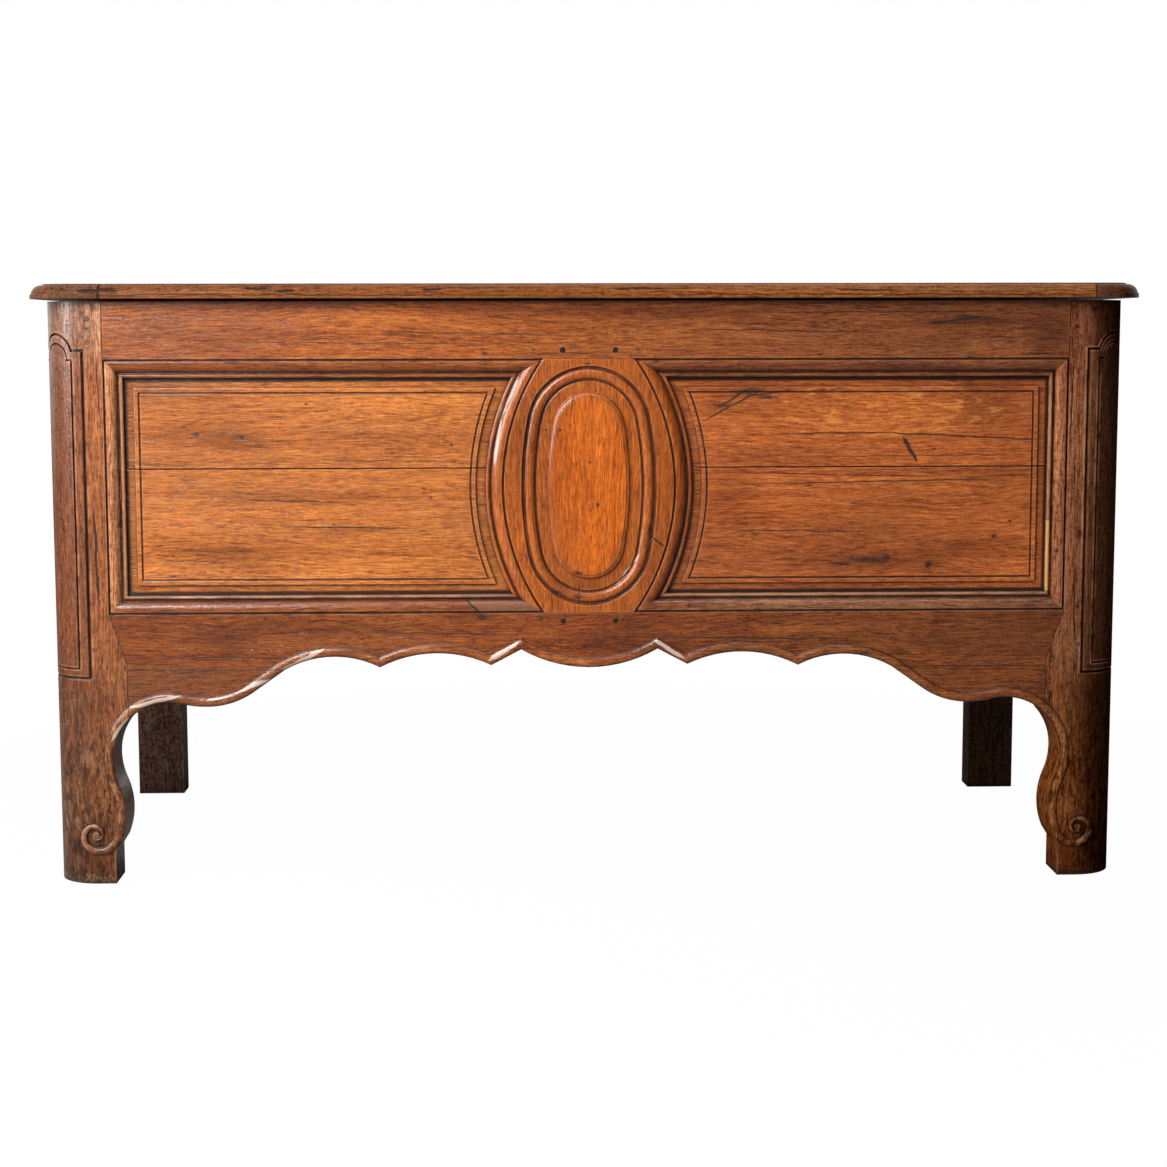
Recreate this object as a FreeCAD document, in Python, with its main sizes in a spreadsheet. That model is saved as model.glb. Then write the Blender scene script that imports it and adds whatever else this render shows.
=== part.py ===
"""An oak coffer of the eighteenth century: a joined and pegged chest with a hinged lid.

The front is a moulded frame of two stiles and two rails round a muntin with curved
sides and an oval medallion. The stiles run down into scrolled bracket feet and the
lower rail is cut as a beaded apron. The frame stands with its front towards -Y, +X to
the right seen from the front, and its origin on the floor under the middle of it all.
"""
import FreeCAD, Part
import math
import os
import re

import Sketcher

# Driving sizes in millimetres. A name that ends in share is a plain ratio.
SIZES = {
    # Carcass
    "carcass_width": 1400,
    "carcass_depth": 612,
    "carcass_height": 758,
    "side_setback": 12,
    "overcut": 20,
    # Front frame
    "stile_face": 78,
    "stile_depth": 62,
    "corner_radius": 55,
    "frame_thickness": 30,
    "top_rail_face": 74,
    "bottom_line_height": 355,
    # Moulding round the front panels
    "moulding_width": 24,
    "quirk_width": 2.6,
    "quirk_depth": 3,
    "ovolo_lip": 0.4,
    "ovolo_width": 16.4,
    "ovolo_drop": 7,
    "ovolo_swell": 2.6,
    "bead_seat": 8.8,
    "bead_gap": 2,
    "bead_swell": 2.6,
    # Panels
    "panel_setback": 13,
    "panel_tongue": 8,
    "groove_depth": 10,
    "panel_play": 1,
    "field_margin": 13,
    "field_rise": 3,
    "field_line_offset": 5.5,
    "field_line_width": 2.2,
    "field_line_depth": 2,
    "board_gap": 1.2,
    "panel_joint_share": 0.584,
    # Muntin and its medallion
    "muntin_middle": 220,
    "muntin_head": 116,
    "moulding_sweep_share": 1.05,
    "oval_width": 97,
    "oval_height": 232,
    "oval_end_radius": 41.4,
    "oval_lip": 0.4,
    "oval_step": 5,
    "oval_sink": 4,
    "oval_step_swell": 1.2,
    "oval_band": 20,
    "oval_quirk": 2.6,
    "oval_quirk_sink": 6,
    "oval_bead": 13.6,
    "oval_bead_swell": 3.5,
    "oval_rim": 39,
    # Tenons, mortises and pegs
    "tenon_setback": 9,
    "tenon_thickness": 12,
    "tenon_length": 46,
    "tenon_shoulder": 9,
    "muntin_tenon_width": 104,
    "mortise_play": 1,
    "peg_diameter": 7,
    "peg_length": 24,
    "peg_stand": 0.5,
    "peg_from_shoulder": 19,
    "low_peg_share": 0.3,
    "high_peg_share": 0.7,
    "muntin_peg_from_middle": 34,
    "muntin_peg_rise": 11,
    # Apron
    "apron_board_height": 282,
    "pendant_half_width": 89,
    "cusp_height": 307,
    "pendant_drop": 24,
    "first_tip_from_middle": 128,
    "first_tip_height": 286.5,
    "second_tip_from_middle": 273,
    "second_tip_height": 284.5,
    "arch_rise": 17,
    "outer_arch_rise": 15.5,
    "ear_length": 204,
    "ear_fall_length": 163,
    "ear_fall_height": 253,
    "ear_low_length": 102,
    "ear_low_height": 234,
    "ear_low_sag": 5,
    "ear_rise_length": 75,
    "ear_rise_height": 236.5,
    "ear_rise_sag": 0.7,
    "ear_crown_rise": 11,
    # Bracket feet, measured in from the outer side of each stile
    "bracket_width": 100,
    "shoulder_foot_height": 290,
    "bracket_height": 217.5,
    "bracket_swell": 5.5,
    "waist_width": 79,
    "waist_height": 165,
    "waist_swell": 2,
    "hip_width": 87,
    "hip_height": 128,
    "hip_swell": 7.2,
    "heel_width": 86.5,
    "heel_height": 54,
    "foot_width": 79,
    "foot_height": 42,
    "edge_bead_width": 12.5,
    "edge_bead_stand": 2.6,
    "bead_joint_gap": 0.1,
    "scroll_from_side": 54,
    "scroll_height": 65,
    "scroll_radius": 36,
    "scroll_shrink_share": 0.19,
    "scroll_bead_width": 12,
    "scroll_taper_share": 0.13,
    "scroll_eye_radius": 4.5,
    # Carved panels on the rounded corners
    "cartouche_bottom": 271,
    "cartouche_shoulder": 697,
    "cartouche_rise": 21,
    "cartouche_half_width": 38.5,
    "cartouche_arch_half_width": 25.5,
    "cartouche_groove": 3.4,
    "cartouche_band": 12.5,
    "cartouche_line": 2.4,
    "cartouche_sink": 2.8,
    # Rear posts and the plain frames
    "post_width": 70,
    "post_depth": 45,
    "post_tenon_length": 27,
    "rail_thickness": 28,
    "lower_rail_bottom": 286,
    "rear_muntin_width": 84,
    "rear_panel_setback": 9,
    "rear_panel_thickness": 9,
    # Bottom of the chest
    "ledger_size": 22,
    "ledger_height": 308,
    "floor_thickness": 15,
    "floor_gap": 1,
    "floor_play": 0.5,
    "nail_diameter": 3.4,
    "nail_length": 20,
    "nail_head_diameter": 9,
    "nail_head_stand": 2.2,
    # Lid
    "lid_overhang": 18,
    "lid_thickness": 19,
    "lid_corner_radius": 52,
    "lid_step": 1.6,
    "lid_ovolo_width": 15,
    "lid_ovolo_height": 11.5,
    "lid_ovolo_swell": 4,
    "lid_lip": 1.5,
    "left_cleat_width": 96,
    "right_cleat_width": 66,
    "front_board_width": 232,
    "middle_board_width": 196,
    "lid_board_gap": 0.5,
    "cleat_tongue_thickness": 7,
    "cleat_tongue_length": 20,
    "cleat_tongue_stop": 42,
    # Strap hinges
    "hinge_share": 0.614,
    "strap_thickness": 3,
    "strap_width": 30,
    "strap_tip_width": 20,
    "strap_rest": 16,
    "eye_radius": 6.5,
    "pin_radius": 3.5,
    "pin_play": 0.06,
    "pin_stand": 4,
    "hinge_gap": 0.6,
    "leaf_width": 64,
    "leaf_height": 62,
    "eye_play": 0.4,
    "leaf_nail_share": 0.3,
    "leaf_nail_high_share": 0.66,
    "lid_nail_length": 11,
}

NODES = []

document = FreeCAD.newDocument("Coffer")
sheet = document.addObject("Spreadsheet::Sheet", "Sizes")
for row, (alias, size) in enumerate(SIZES.items(), 1):
    sheet.set(f"A{row}", alias)
    sheet.set(f"B{row}", str(size))
    sheet.setAlias(f"B{row}", alias)
document.recompute()

SIZE_NAME = re.compile(r"\b(" + "|".join(SIZES) + r")\b")


def bound(expression):
    """An expression in size names, as the document's own objects write it."""
    return SIZE_NAME.sub(r"Sizes.\1", expression)


def measure(expression):
    """The value in millimetres that an expression has now."""
    return float(sheet.evalExpression(bound(expression)))


# Lines that many pieces share. Depths are measured back from the front frame's face.
HALF = "(carcass_width / 2)"
SHOULDER = "(carcass_width / 2 - stile_face)"
OPENING = "(carcass_width / 2 - stile_face - moulding_width)"
BRACKET = "(carcass_width / 2 - bracket_width)"
SIDE = "(carcass_width / 2 - side_setback)"
SIDE_INNER = "(carcass_width / 2 - side_setback - rail_thickness)"
POST_INNER = "(carcass_width / 2 - side_setback - post_width)"
POST_FRONT = "(carcass_depth - post_depth)"
REAR_INNER = "(carcass_depth - rail_thickness)"
TOP_LINE = "(carcass_height - top_rail_face)"
OPENING_TOP = "(carcass_height - top_rail_face - moulding_width)"
OPENING_BOTTOM = "(bottom_line_height + moulding_width)"
MIDDLE_HEIGHT = "((carcass_height - top_rail_face + bottom_line_height) / 2)"
LINE_RISE = "((carcass_height - top_rail_face - bottom_line_height) / 2)"
TENON_BACK = "(tenon_setback + tenon_thickness)"
PANEL_BACK = "(panel_setback + panel_tongue)"
FLOOR_BOTTOM = "(ledger_height + ledger_size)"
LID_BOTTOM = "(carcass_height + strap_thickness)"
LID_TOP = "(carcass_height + strap_thickness + lid_thickness)"
LID_HALF = "(carcass_width / 2 + lid_overhang)"
PANEL_JOINT = f"({OPENING_BOTTOM} + panel_joint_share * ({OPENING_TOP} - {OPENING_BOTTOM}))"
HINGE = "(hinge_share * carcass_width / 2)"
PIN_DEPTH = "(carcass_depth + hinge_gap + eye_radius)"
PIN_HEIGHT = "(carcass_height + strap_thickness - eye_radius)"
FRONT = "((lid_overhang - carcass_depth - hinge_gap - 2 * eye_radius) / 2)"

# The muntin's sides are arcs round centres far across its axis.
MUNTIN_SAG = "((muntin_middle - muntin_head) / 2)"
MUNTIN_RADIUS = f"(({LINE_RISE} ^ 2 + {MUNTIN_SAG} ^ 2) / (2 * {MUNTIN_SAG}))"
MUNTIN_CENTRE = f"(muntin_middle / 2 - {MUNTIN_RADIUS})"
SIGHT_RISE = f"({LINE_RISE} - moulding_width)"
SIGHT_RADIUS = f"({MUNTIN_RADIUS} + moulding_width)"

# The medallion is an oval of four arcs: two small ends and two long sides.
OVAL_END = "(oval_height / 2 - oval_end_radius)"
OVAL_SIDE_RADIUS = (
    f"(((oval_width / 2) ^ 2 + {OVAL_END} ^ 2 - oval_end_radius ^ 2)"
    " / (oval_width - 2 * oval_end_radius))"
)
OVAL_SIDE_CENTRE = f"({OVAL_SIDE_RADIUS} - oval_width / 2)"
OVAL_SIDE_TURN = f"(2 * atan({OVAL_END} / {OVAL_SIDE_CENTRE}))"

# The rails of the sides and the back, by name, with their lower and upper edges
SIDE_RAILS = {
    "Top": (OPENING_TOP, "carcass_height"),
    "Lower": ("lower_rail_bottom", OPENING_BOTTOM),
}
SIDE_TENON = (f"({SIDE_INNER} + tenon_shoulder)", f"({SIDE_INNER} + tenon_shoulder + tenon_thickness)")
SIDE_GROOVE = (f"({SIDE} - panel_setback - panel_tongue)", f"({SIDE} - panel_setback)")
REAR_TENON = (f"({REAR_INNER} + tenon_shoulder)", f"({REAR_INNER} + tenon_shoulder + tenon_thickness)")
REAR_PANEL = (
    "(carcass_depth - rear_panel_setback - rear_panel_thickness)",
    "(carcass_depth - rear_panel_setback)",
)

# Counts and shares along a length
FLOOR_BOARDS = 6
SCROLL_STEPS = 11
SCROLL_STEP = math.pi / 4
LEDGER_NAIL_SHARES = ("-0.85", "-0.51", "-0.17", "0.17", "0.51", "0.85")
STRAP_NAIL_SHARES = ("0.12", "0.27", "0.45", "0.62", "0.75", "0.9")

# Turns of a plain cylinder, as yaw, pitch and roll in degrees
UPRIGHT = (0, 0, 0)
ALONG_X = (0, 90, 0)
ALONG_Y = (0, 0, -90)
HALF_CORNER = 45
HALF_TURN = 180


def on_arc(centre, radius, rise):
    """How far from the axis an arc lies at a height above its own middle."""
    return f"({centre} + sqrt({radius} ^ 2 - {rise} ^ 2))"


def negative(expression):
    return f"(-({expression}))"


def to_side(side, expression):
    """The same distance to the right, or to the left where side is below zero."""
    return expression if side > 0 else negative(expression)


def span_to_side(side, span):
    """A span of X to the right, or its mirror image."""
    return span if side > 0 else (negative(span[1]), negative(span[0]))


def path_to_side(side, path):
    """An outline to the right, or its mirror image."""
    if side > 0:
        return path
    return [(negative(point[0]), *point[1:3], *((-hint[0], hint[1]) for hint in point[3:]))
            for point in path]


# Helpers that add objects to the document


def new_body(name):
    body = document.addObject("PartDesign::Body", name)
    body.setExpression("Placement.Base.y", bound(FRONT))
    return body


def new_sketch(body, role, name, offset="0"):
    """A sketch on one of the body's own planes, moved along that plane's normal."""
    sketch = body.newObject("Sketcher::SketchObject", name)
    planes = {feature.Role: feature for feature in body.Origin.OriginFeatures}
    sketch.AttachmentSupport = [(planes[role], "")]
    sketch.MapMode = "FlatFace"
    sketch.setExpression("AttachmentOffset.Base.z", bound(offset))
    return sketch


def pin_point(sketch, geometry, position, across, along):
    """Hold a sketch point at two expressions measured from the sketch's origin."""
    for kind, expression in (("DistanceX", across), ("DistanceY", along)):
        rule = Sketcher.Constraint(kind, -1, 1, geometry, position, measure(expression))
        index = sketch.addConstraint(rule)
        sketch.setExpression(f"Constraints[{index}]", bound(expression))


def draw(sketch, path):
    """Add a closed outline to a sketch.

    Each point is (across, along), with a rise and a hint after them where the stretch
    to the next point is an arc: the arc stands off its chord by the rise, on the side
    that the hint points to.
    """
    corners = [FreeCAD.Vector(measure(point[0]), measure(point[1]), 0) for point in path]
    stretches = []
    for index, point in enumerate(path):
        start = corners[index]
        following = (index + 1) % len(path)
        end = corners[following]
        if len(point) == 2:
            geometry = sketch.addGeometry(Part.LineSegment(start, end))
            stretches.append((geometry, 1, 2))
            continue
        rise, hint = point[2], FreeCAD.Vector(*point[3], 0)
        chord = end - start
        square = FreeCAD.Vector(-chord.y, chord.x, 0).normalize()
        if square.dot(hint) < 0:
            square = square.negative()
        crown = (start + end) / 2 + square * measure(rise)
        if (crown - start).cross(end - crown).z > 0:
            geometry = sketch.addGeometry(Part.Arc(start, crown, end))
            stretches.append((geometry, 1, 2))
        else:
            geometry = sketch.addGeometry(Part.Arc(end, crown, start))
            stretches.append((geometry, 2, 1))
    for index, (geometry, first, last) in enumerate(stretches):
        following = (index + 1) % len(path)
        neighbour, neighbour_first, _ = stretches[following]
        sketch.addConstraint(Sketcher.Constraint("Coincident", geometry, last, neighbour, neighbour_first))
        pin_point(sketch, geometry, first, path[index][0], path[index][1])
        if len(path[index]) > 2:
            (x0, y0), (x1, y1), rise = path[index][:2], path[following][:2], path[index][2]
            radius = f"((({x1}) - ({x0})) ^ 2 + (({y1}) - ({y0})) ^ 2) / (8 * {rise}) + ({rise}) / 2"
            rule = sketch.addConstraint(Sketcher.Constraint("Radius", geometry, measure(radius)))
            sketch.setExpression(f"Constraints[{rule}]", bound(radius))


def pad_back(body, sketch, thickness):
    """Thicken an outline of the front view backwards from the front face."""
    pad = body.newObject("PartDesign::Pad", "Board")
    pad.Profile = sketch
    pad.setExpression("Length", bound(thickness))
    pad.Reversed = True
    return pad


def pocket(body, sketch, length, name):
    """Cut a sketch's outline against its normal, and see that something was cut."""
    document.recompute()
    before = body.Shape.Volume
    cut = body.newObject("PartDesign::Pocket", name)
    cut.Profile = sketch
    cut.setExpression("Length", bound(length))
    document.recompute()
    if body.Shape.Volume > before:
        raise RuntimeError(f"{body.Name} {name} cuts nothing")
    return cut


def box_feature(body, kind, name, spans):
    """A box added to a body or taken from it, from its spans along X, Y and Z."""
    box = body.newObject(f"PartDesign::{kind}Box", name)
    for span, side, axis in zip(spans, ("Length", "Width", "Height"), "xyz"):
        box.setExpression(side, bound(f"({span[1]}) - ({span[0]})"))
        box.setExpression(f"Placement.Base.{axis}", bound(span[0]))
    return box


def plain_box(name, spans):
    """A box of its own, with its depth measured from the front frame's face."""
    box = document.addObject("Part::Box", name)
    for span, side, axis in zip(spans, ("Length", "Width", "Height"), "xyz"):
        start = f"({span[0]}) + {FRONT}" if axis == "y" else span[0]
        box.setExpression(side, bound(f"({span[1]}) - ({span[0]})"))
        box.setExpression(f"Placement.Base.{axis}", bound(start))
    return box


def plain_cylinder(name, radius, height, place, turn=(0, 0, 0)):
    """A cylinder of its own, standing along +Z unless turned (yaw, pitch, roll)."""
    cylinder = document.addObject("Part::Cylinder", name)
    cylinder.Placement = FreeCAD.Placement(FreeCAD.Vector(), FreeCAD.Rotation(*turn))
    cylinder.setExpression("Radius", bound(radius))
    cylinder.setExpression("Height", bound(height))
    for start, axis in zip(place, "xyz"):
        start = f"({start}) + {FRONT}" if axis == "y" else start
        cylinder.setExpression(f"Placement.Base.{axis}", bound(start))
    return cylinder


def cut(name, base, tool):
    result = document.addObject("Part::Cut", name)
    result.Base = base
    result.Tool = tool
    return result


def common(name, base, tool):
    result = document.addObject("Part::Common", name)
    result.Base = base
    result.Tool = tool
    return result


def fuse(name, shapes):
    result = document.addObject("Part::MultiFuse", name)
    result.Shapes = shapes
    return result


def group(name, links):
    result = document.addObject("Part::Compound", name)
    result.Links = links
    return result


def node(item, label):
    """Name a finished piece and list it for export."""
    item.Label = label
    NODES.append(item)
    return item


# Mouldings


def moulding_section(place):
    """What the moulding plane takes off an edge.

    place turns a distance from the moulding's outer line and a depth into the
    sketch's own pair, and gives the direction that faces the viewer.
    """
    viewer = place("0", "-1", True)
    bead_start = "ovolo_width + bead_gap"
    return [
        place("0", "-overcut"),
        place("0", "quirk_depth"),
        place("quirk_width", "quirk_depth"),
        place("quirk_width", "ovolo_lip") + ("ovolo_swell", viewer),
        place("ovolo_width", "ovolo_drop"),
        place("ovolo_width", "bead_seat"),
        place(bead_start, "bead_seat") + ("bead_swell", viewer),
        place("moulding_width", "bead_seat"),
        place("moulding_width + overcut", "bead_seat"),
        place("moulding_width + overcut", "-overcut"),
    ]


def across_then_depth(start, sign):
    """Sketch places for a section drawn in plan, from a line along X."""
    def place(distance, depth, direction=False):
        if direction:
            return (0, -1)
        return (f"({start} + ({sign}) * ({distance}))", depth)
    return place


def depth_then_up(start, sign):
    """Sketch places for a section drawn in side view, from a line along Z."""
    def place(distance, depth, direction=False):
        if direction:
            return (-1, 0)
        return (depth, f"({start} + ({sign}) * ({distance}))")
    return place


def rail_moulding(body, line, sign):
    """Mould an edge of a front rail from end to end."""
    sketch = new_sketch(body, "YZ_Plane", "MouldingSection", HALF)
    draw(sketch, moulding_section(depth_then_up(line, sign)))
    pocket(body, sketch, "carcass_width", "Moulding")


def turned_cut(body, sketch, axis, angle, name):
    """Turn a section about a line of its own sketch, half the angle each way, as a cut."""
    start, end = (FreeCAD.Vector(*map(measure, point), 0) for point in axis)
    geometry = sketch.addGeometry(Part.LineSegment(start, end), True)
    pin_point(sketch, geometry, 1, *axis[0])
    pin_point(sketch, geometry, 2, *axis[1])
    document.recompute()
    before = body.Shape.Volume
    groove = body.newObject("PartDesign::Groove", name)
    groove.Profile = sketch
    groove.ReferenceAxis = (sketch, ["Axis0"])
    groove.Midplane = True
    groove.setExpression("Angle", bound(angle))
    document.recompute()
    if body.Shape.Volume > before:
        raise RuntimeError(f"{body.Name} {name} cuts nothing")


# Front frame


def leg_edge():
    """The inner edge of a bracket foot, from the rail's shoulder down to the floor."""
    inward = "(carcass_width / 2 - {})".format
    return [
        (BRACKET, "shoulder_foot_height"),
        (BRACKET, "bracket_height", "bracket_swell", (1, 1)),
        (inward("waist_width"), "waist_height", "waist_swell", (1, 0)),
        (inward("hip_width"), "hip_height", "hip_swell", (-1, 0)),
        (inward("heel_width"), "heel_height"),
    ]


def stile_outline():
    foot = "(carcass_width / 2 - foot_width)"
    return [
        (HALF, "0"),
        (HALF, "carcass_height"),
        (SHOULDER, "carcass_height"),
        (SHOULDER, TOP_LINE),
        (OPENING, OPENING_TOP),
        (OPENING, OPENING_BOTTOM),
        (SHOULDER, "bottom_line_height"),
        *leg_edge(),
        (foot, "foot_height"),
        (foot, "0"),
    ]


def ear_edge():
    """The lower edge of the apron's outer end, from the middle outwards."""
    inward = f"({BRACKET} - {{}})".format
    return [
        (inward("ear_length"), "apron_board_height"),
        (inward("ear_fall_length"), "ear_fall_height", "ear_low_sag", (-1, -1)),
        (inward("ear_low_length"), "ear_low_height", "ear_rise_sag", (0, -1)),
        (inward("ear_rise_length"), "ear_rise_height", "ear_crown_rise", (0, 1)),
    ]


def apron_edge():
    """The lower edge of the rail's own board, from the middle outwards."""
    return [
        ("pendant_half_width", "cusp_height"),
        ("first_tip_from_middle", "first_tip_height", "arch_rise", (0, 1)),
        ("second_tip_from_middle", "second_tip_height", "outer_arch_rise", (0, 1)),
    ]


def whole_round(half_path, closing):
    """A symmetrical outline: a right half walked outwards, and its mirror walked back in.

    closing is the stretch over the axis, as a rise and a hint.
    """
    mirrored = path_to_side(-1, half_path)
    back = []
    for index in range(len(mirrored) - 1, -1, -1):
        arc = mirrored[index - 1][2:] if index else closing
        back.append(mirrored[index][:2] + tuple(arc))
    return half_path + back


def outline_board(body, path, thickness):
    """A board cut to an outline of the front view."""
    sketch = new_sketch(body, "XZ_Plane", "Outline")
    draw(sketch, path)
    return pad_back(body, sketch, thickness)


def stile_body(side, name):
    """A front stile, rounded at its outer corner, with its moulding, groove and mortises."""
    body = new_body(name)
    board = outline_board(body, path_to_side(side, stile_outline()), "stile_depth")
    document.recompute()
    corner = measure(to_side(side, HALF))
    near = measure("bead_gap")
    edges = [f"Edge{number}" for number, edge in enumerate(board.Shape.Edges, 1)
             if all(abs(vertex.X - corner) < near and abs(vertex.Y) < near for vertex in edge.Vertexes)]
    rounding = body.newObject("PartDesign::Fillet", "Corner")
    rounding.Base = (board, edges)
    rounding.setExpression("Radius", bound("corner_radius"))
    sketch = new_sketch(body, "XY_Plane", "MouldingSection", TOP_LINE)
    draw(sketch, moulding_section(across_then_depth(to_side(side, SHOULDER), "-1" if side > 0 else "1")))
    pocket(body, sketch, f"{TOP_LINE} - bottom_line_height", "Moulding")
    tenon_end = f"({SHOULDER} + tenon_length + mortise_play)"
    tenon_depth = ("tenon_setback", TENON_BACK)
    groove_height = (f"({OPENING_BOTTOM} - groove_depth)", f"({OPENING_TOP} + groove_depth)")
    recesses = {
        "PanelGroove": ((OPENING, f"({OPENING} + groove_depth)"), ("panel_setback", PANEL_BACK),
                        groove_height),
        "TopMortise": ((SHOULDER, tenon_end), tenon_depth,
                       (f"({TOP_LINE} + tenon_shoulder)", "(carcass_height - tenon_shoulder)")),
        "LowerMortise": ((BRACKET, tenon_end), tenon_depth,
                         ("(shoulder_foot_height + tenon_shoulder)",
                          "(bottom_line_height - tenon_shoulder)")),
        "SidePanelGroove": (SIDE_GROOVE, ("(stile_depth - groove_depth)", "stile_depth"), groove_height),
    }
    for label, (low, high) in SIDE_RAILS.items():
        recesses["Side" + label + "Mortise"] = (
            SIDE_TENON, ("(stile_depth / 2 - mortise_play)", "stile_depth"),
            (f"({low} + tenon_shoulder)", f"({high} - tenon_shoulder)"))
    for label, spans in recesses.items():
        box_feature(body, "Subtractive", label, (span_to_side(side, spans[0]), *spans[1:]))
    return body


def muntin_body():
    """The muntin with curved, moulded sides, and the oval medallion in its face."""
    body = new_body("Muntin")
    sight = on_arc(MUNTIN_CENTRE, SIGHT_RADIUS, SIGHT_RISE)
    sight_sag = f"(muntin_middle / 2 + moulding_width - {sight})"
    right = [
        ("(muntin_head / 2)", TOP_LINE),
        (sight, OPENING_TOP, sight_sag, (1, 0)),
        (sight, OPENING_BOTTOM),
        ("(muntin_head / 2)", "bottom_line_height"),
    ]
    left = path_to_side(-1, right)
    back = [left[3][:2], left[2][:2] + left[1][2:], left[1][:2], left[0][:2]]
    outline_board(body, right + back, "frame_thickness")
    half_tenon = "(muntin_tenon_width / 2)"
    across = (negative(half_tenon), half_tenon)
    deep = ("tenon_setback", TENON_BACK)
    box_feature(body, "Additive", "TopTenon", (across, deep, (TOP_LINE, f"({TOP_LINE} + tenon_length)")))
    box_feature(body, "Additive", "LowerTenon",
                (across, deep, ("(bottom_line_height - tenon_length)", "bottom_line_height")))
    for side, name in ((1, "Right"), (-1, "Left")):
        sketch = new_sketch(body, "XY_Plane", name + "Section", MIDDLE_HEIGHT)
        edge = to_side(side, "(muntin_middle / 2)")
        draw(sketch, moulding_section(across_then_depth(edge, str(side))))
        centre = to_side(side, MUNTIN_CENTRE)
        turned_cut(body, sketch, ((centre, "-overcut"), (centre, "overcut")),
                   f"(2 * moulding_sweep_share * asin({LINE_RISE} / {MUNTIN_RADIUS}))", name + "Moulding")
        groove_radius = f"({SIGHT_RADIUS} - groove_depth)"
        groove_end = on_arc(MUNTIN_CENTRE, groove_radius, LINE_RISE)
        groove_sag = f"({MUNTIN_CENTRE} + {groove_radius} - {groove_end})"
        beyond = "(muntin_middle / 2 + moulding_width + overcut)"
        sketch = new_sketch(body, "XZ_Plane", name + "Groove", negative("panel_setback"))
        draw(sketch, path_to_side(side, [
            (groove_end, TOP_LINE, groove_sag, (1, 0)),
            (groove_end, "bottom_line_height"),
            (beyond, "bottom_line_height"),
            (beyond, TOP_LINE),
        ]))
        pocket(body, sketch, "panel_tongue", name + "PanelGroove")
    carve_medallion(body)
    return body


def medallion_section(place):
    """The medallion's section from its raised field outwards to its rim."""
    viewer = place("0", "-1", True)
    bead_start = "(oval_band + oval_quirk)"
    return [
        place("0", "-overcut"),
        place("0", "oval_lip") + ("oval_step_swell", viewer),
        place("oval_step", "oval_sink"),
        place("oval_band", "oval_sink"),
        place("oval_band", "oval_quirk_sink"),
        place(bead_start, "oval_quirk_sink"),
        place(bead_start, "oval_sink") + ("oval_bead_swell", viewer),
        place(f"({bead_start} + oval_bead)", "oval_sink"),
        place("oval_rim", "oval_sink"),
        place("oval_rim", "-overcut"),
    ]


def carve_medallion(body):
    """Cut the oval as four turned stretches that meet edge to edge."""
    end_turn = f"(180 deg - {OVAL_SIDE_TURN})"
    for side, name in ((1, "Upper"), (-1, "Lower")):
        sketch = new_sketch(body, "YZ_Plane", name + "OvalSection")
        edge = f"({MIDDLE_HEIGHT} + ({side}) * oval_height / 2)"
        draw(sketch, medallion_section(depth_then_up(edge, str(side))))
        centre = f"({MIDDLE_HEIGHT} + ({side}) * {OVAL_END})"
        axis = (("-overcut", centre), ("overcut", centre))
        turned_cut(body, sketch, axis, end_turn, name + "OvalEnd")
    for side, name in ((1, "Right"), (-1, "Left")):
        sketch = new_sketch(body, "XY_Plane", name + "OvalSection", MIDDLE_HEIGHT)
        edge = to_side(side, "(oval_width / 2)")
        draw(sketch, medallion_section(across_then_depth(edge, str(side))))
        centre = to_side(-side, OVAL_SIDE_CENTRE)
        axis = ((centre, "-overcut"), (centre, "overcut"))
        turned_cut(body, sketch, axis, OVAL_SIDE_TURN, name + "OvalSide")


def front_tenons(body, low, high):
    """Tenons at both ends of a front rail."""
    for side, name in ((1, "RightTenon"), (-1, "LeftTenon")):
        reach = (f"({BRACKET} - tenon_length / 2)", f"({SHOULDER} + tenon_length)")
        box_feature(body, "Additive", name, (
            span_to_side(side, reach), ("tenon_setback", TENON_BACK),
            (f"({low} + tenon_shoulder)", f"({high} - tenon_shoulder)")))


def front_rail_recesses(body, groove, mortise):
    """The panel groove along a front rail and the mortise for the muntin."""
    whole = (negative(SHOULDER), SHOULDER)
    half_tenon = "(muntin_tenon_width / 2)"
    box_feature(body, "Subtractive", "PanelGroove", (whole, ("panel_setback", PANEL_BACK), groove))
    box_feature(body, "Subtractive", "MuntinMortise",
                ((negative(half_tenon), half_tenon), ("tenon_setback", TENON_BACK), mortise))


def top_rail_body():
    body = new_body("TopRail")
    sight = on_arc(MUNTIN_CENTRE, SIGHT_RADIUS, SIGHT_RISE)
    half = [
        ("(muntin_head / 2)", TOP_LINE),
        (sight, OPENING_TOP),
        (OPENING, OPENING_TOP),
        (SHOULDER, TOP_LINE),
        (SHOULDER, "carcass_height"),
    ]
    outline_board(body, whole_round(half, ()), "frame_thickness")
    rail_moulding(body, TOP_LINE, "-1")
    front_tenons(body, TOP_LINE, "carcass_height")
    front_rail_recesses(body, (OPENING_TOP, f"({OPENING_TOP} + groove_depth)"),
                        (TOP_LINE, f"({TOP_LINE} + tenon_length + mortise_play)"))
    return body


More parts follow.
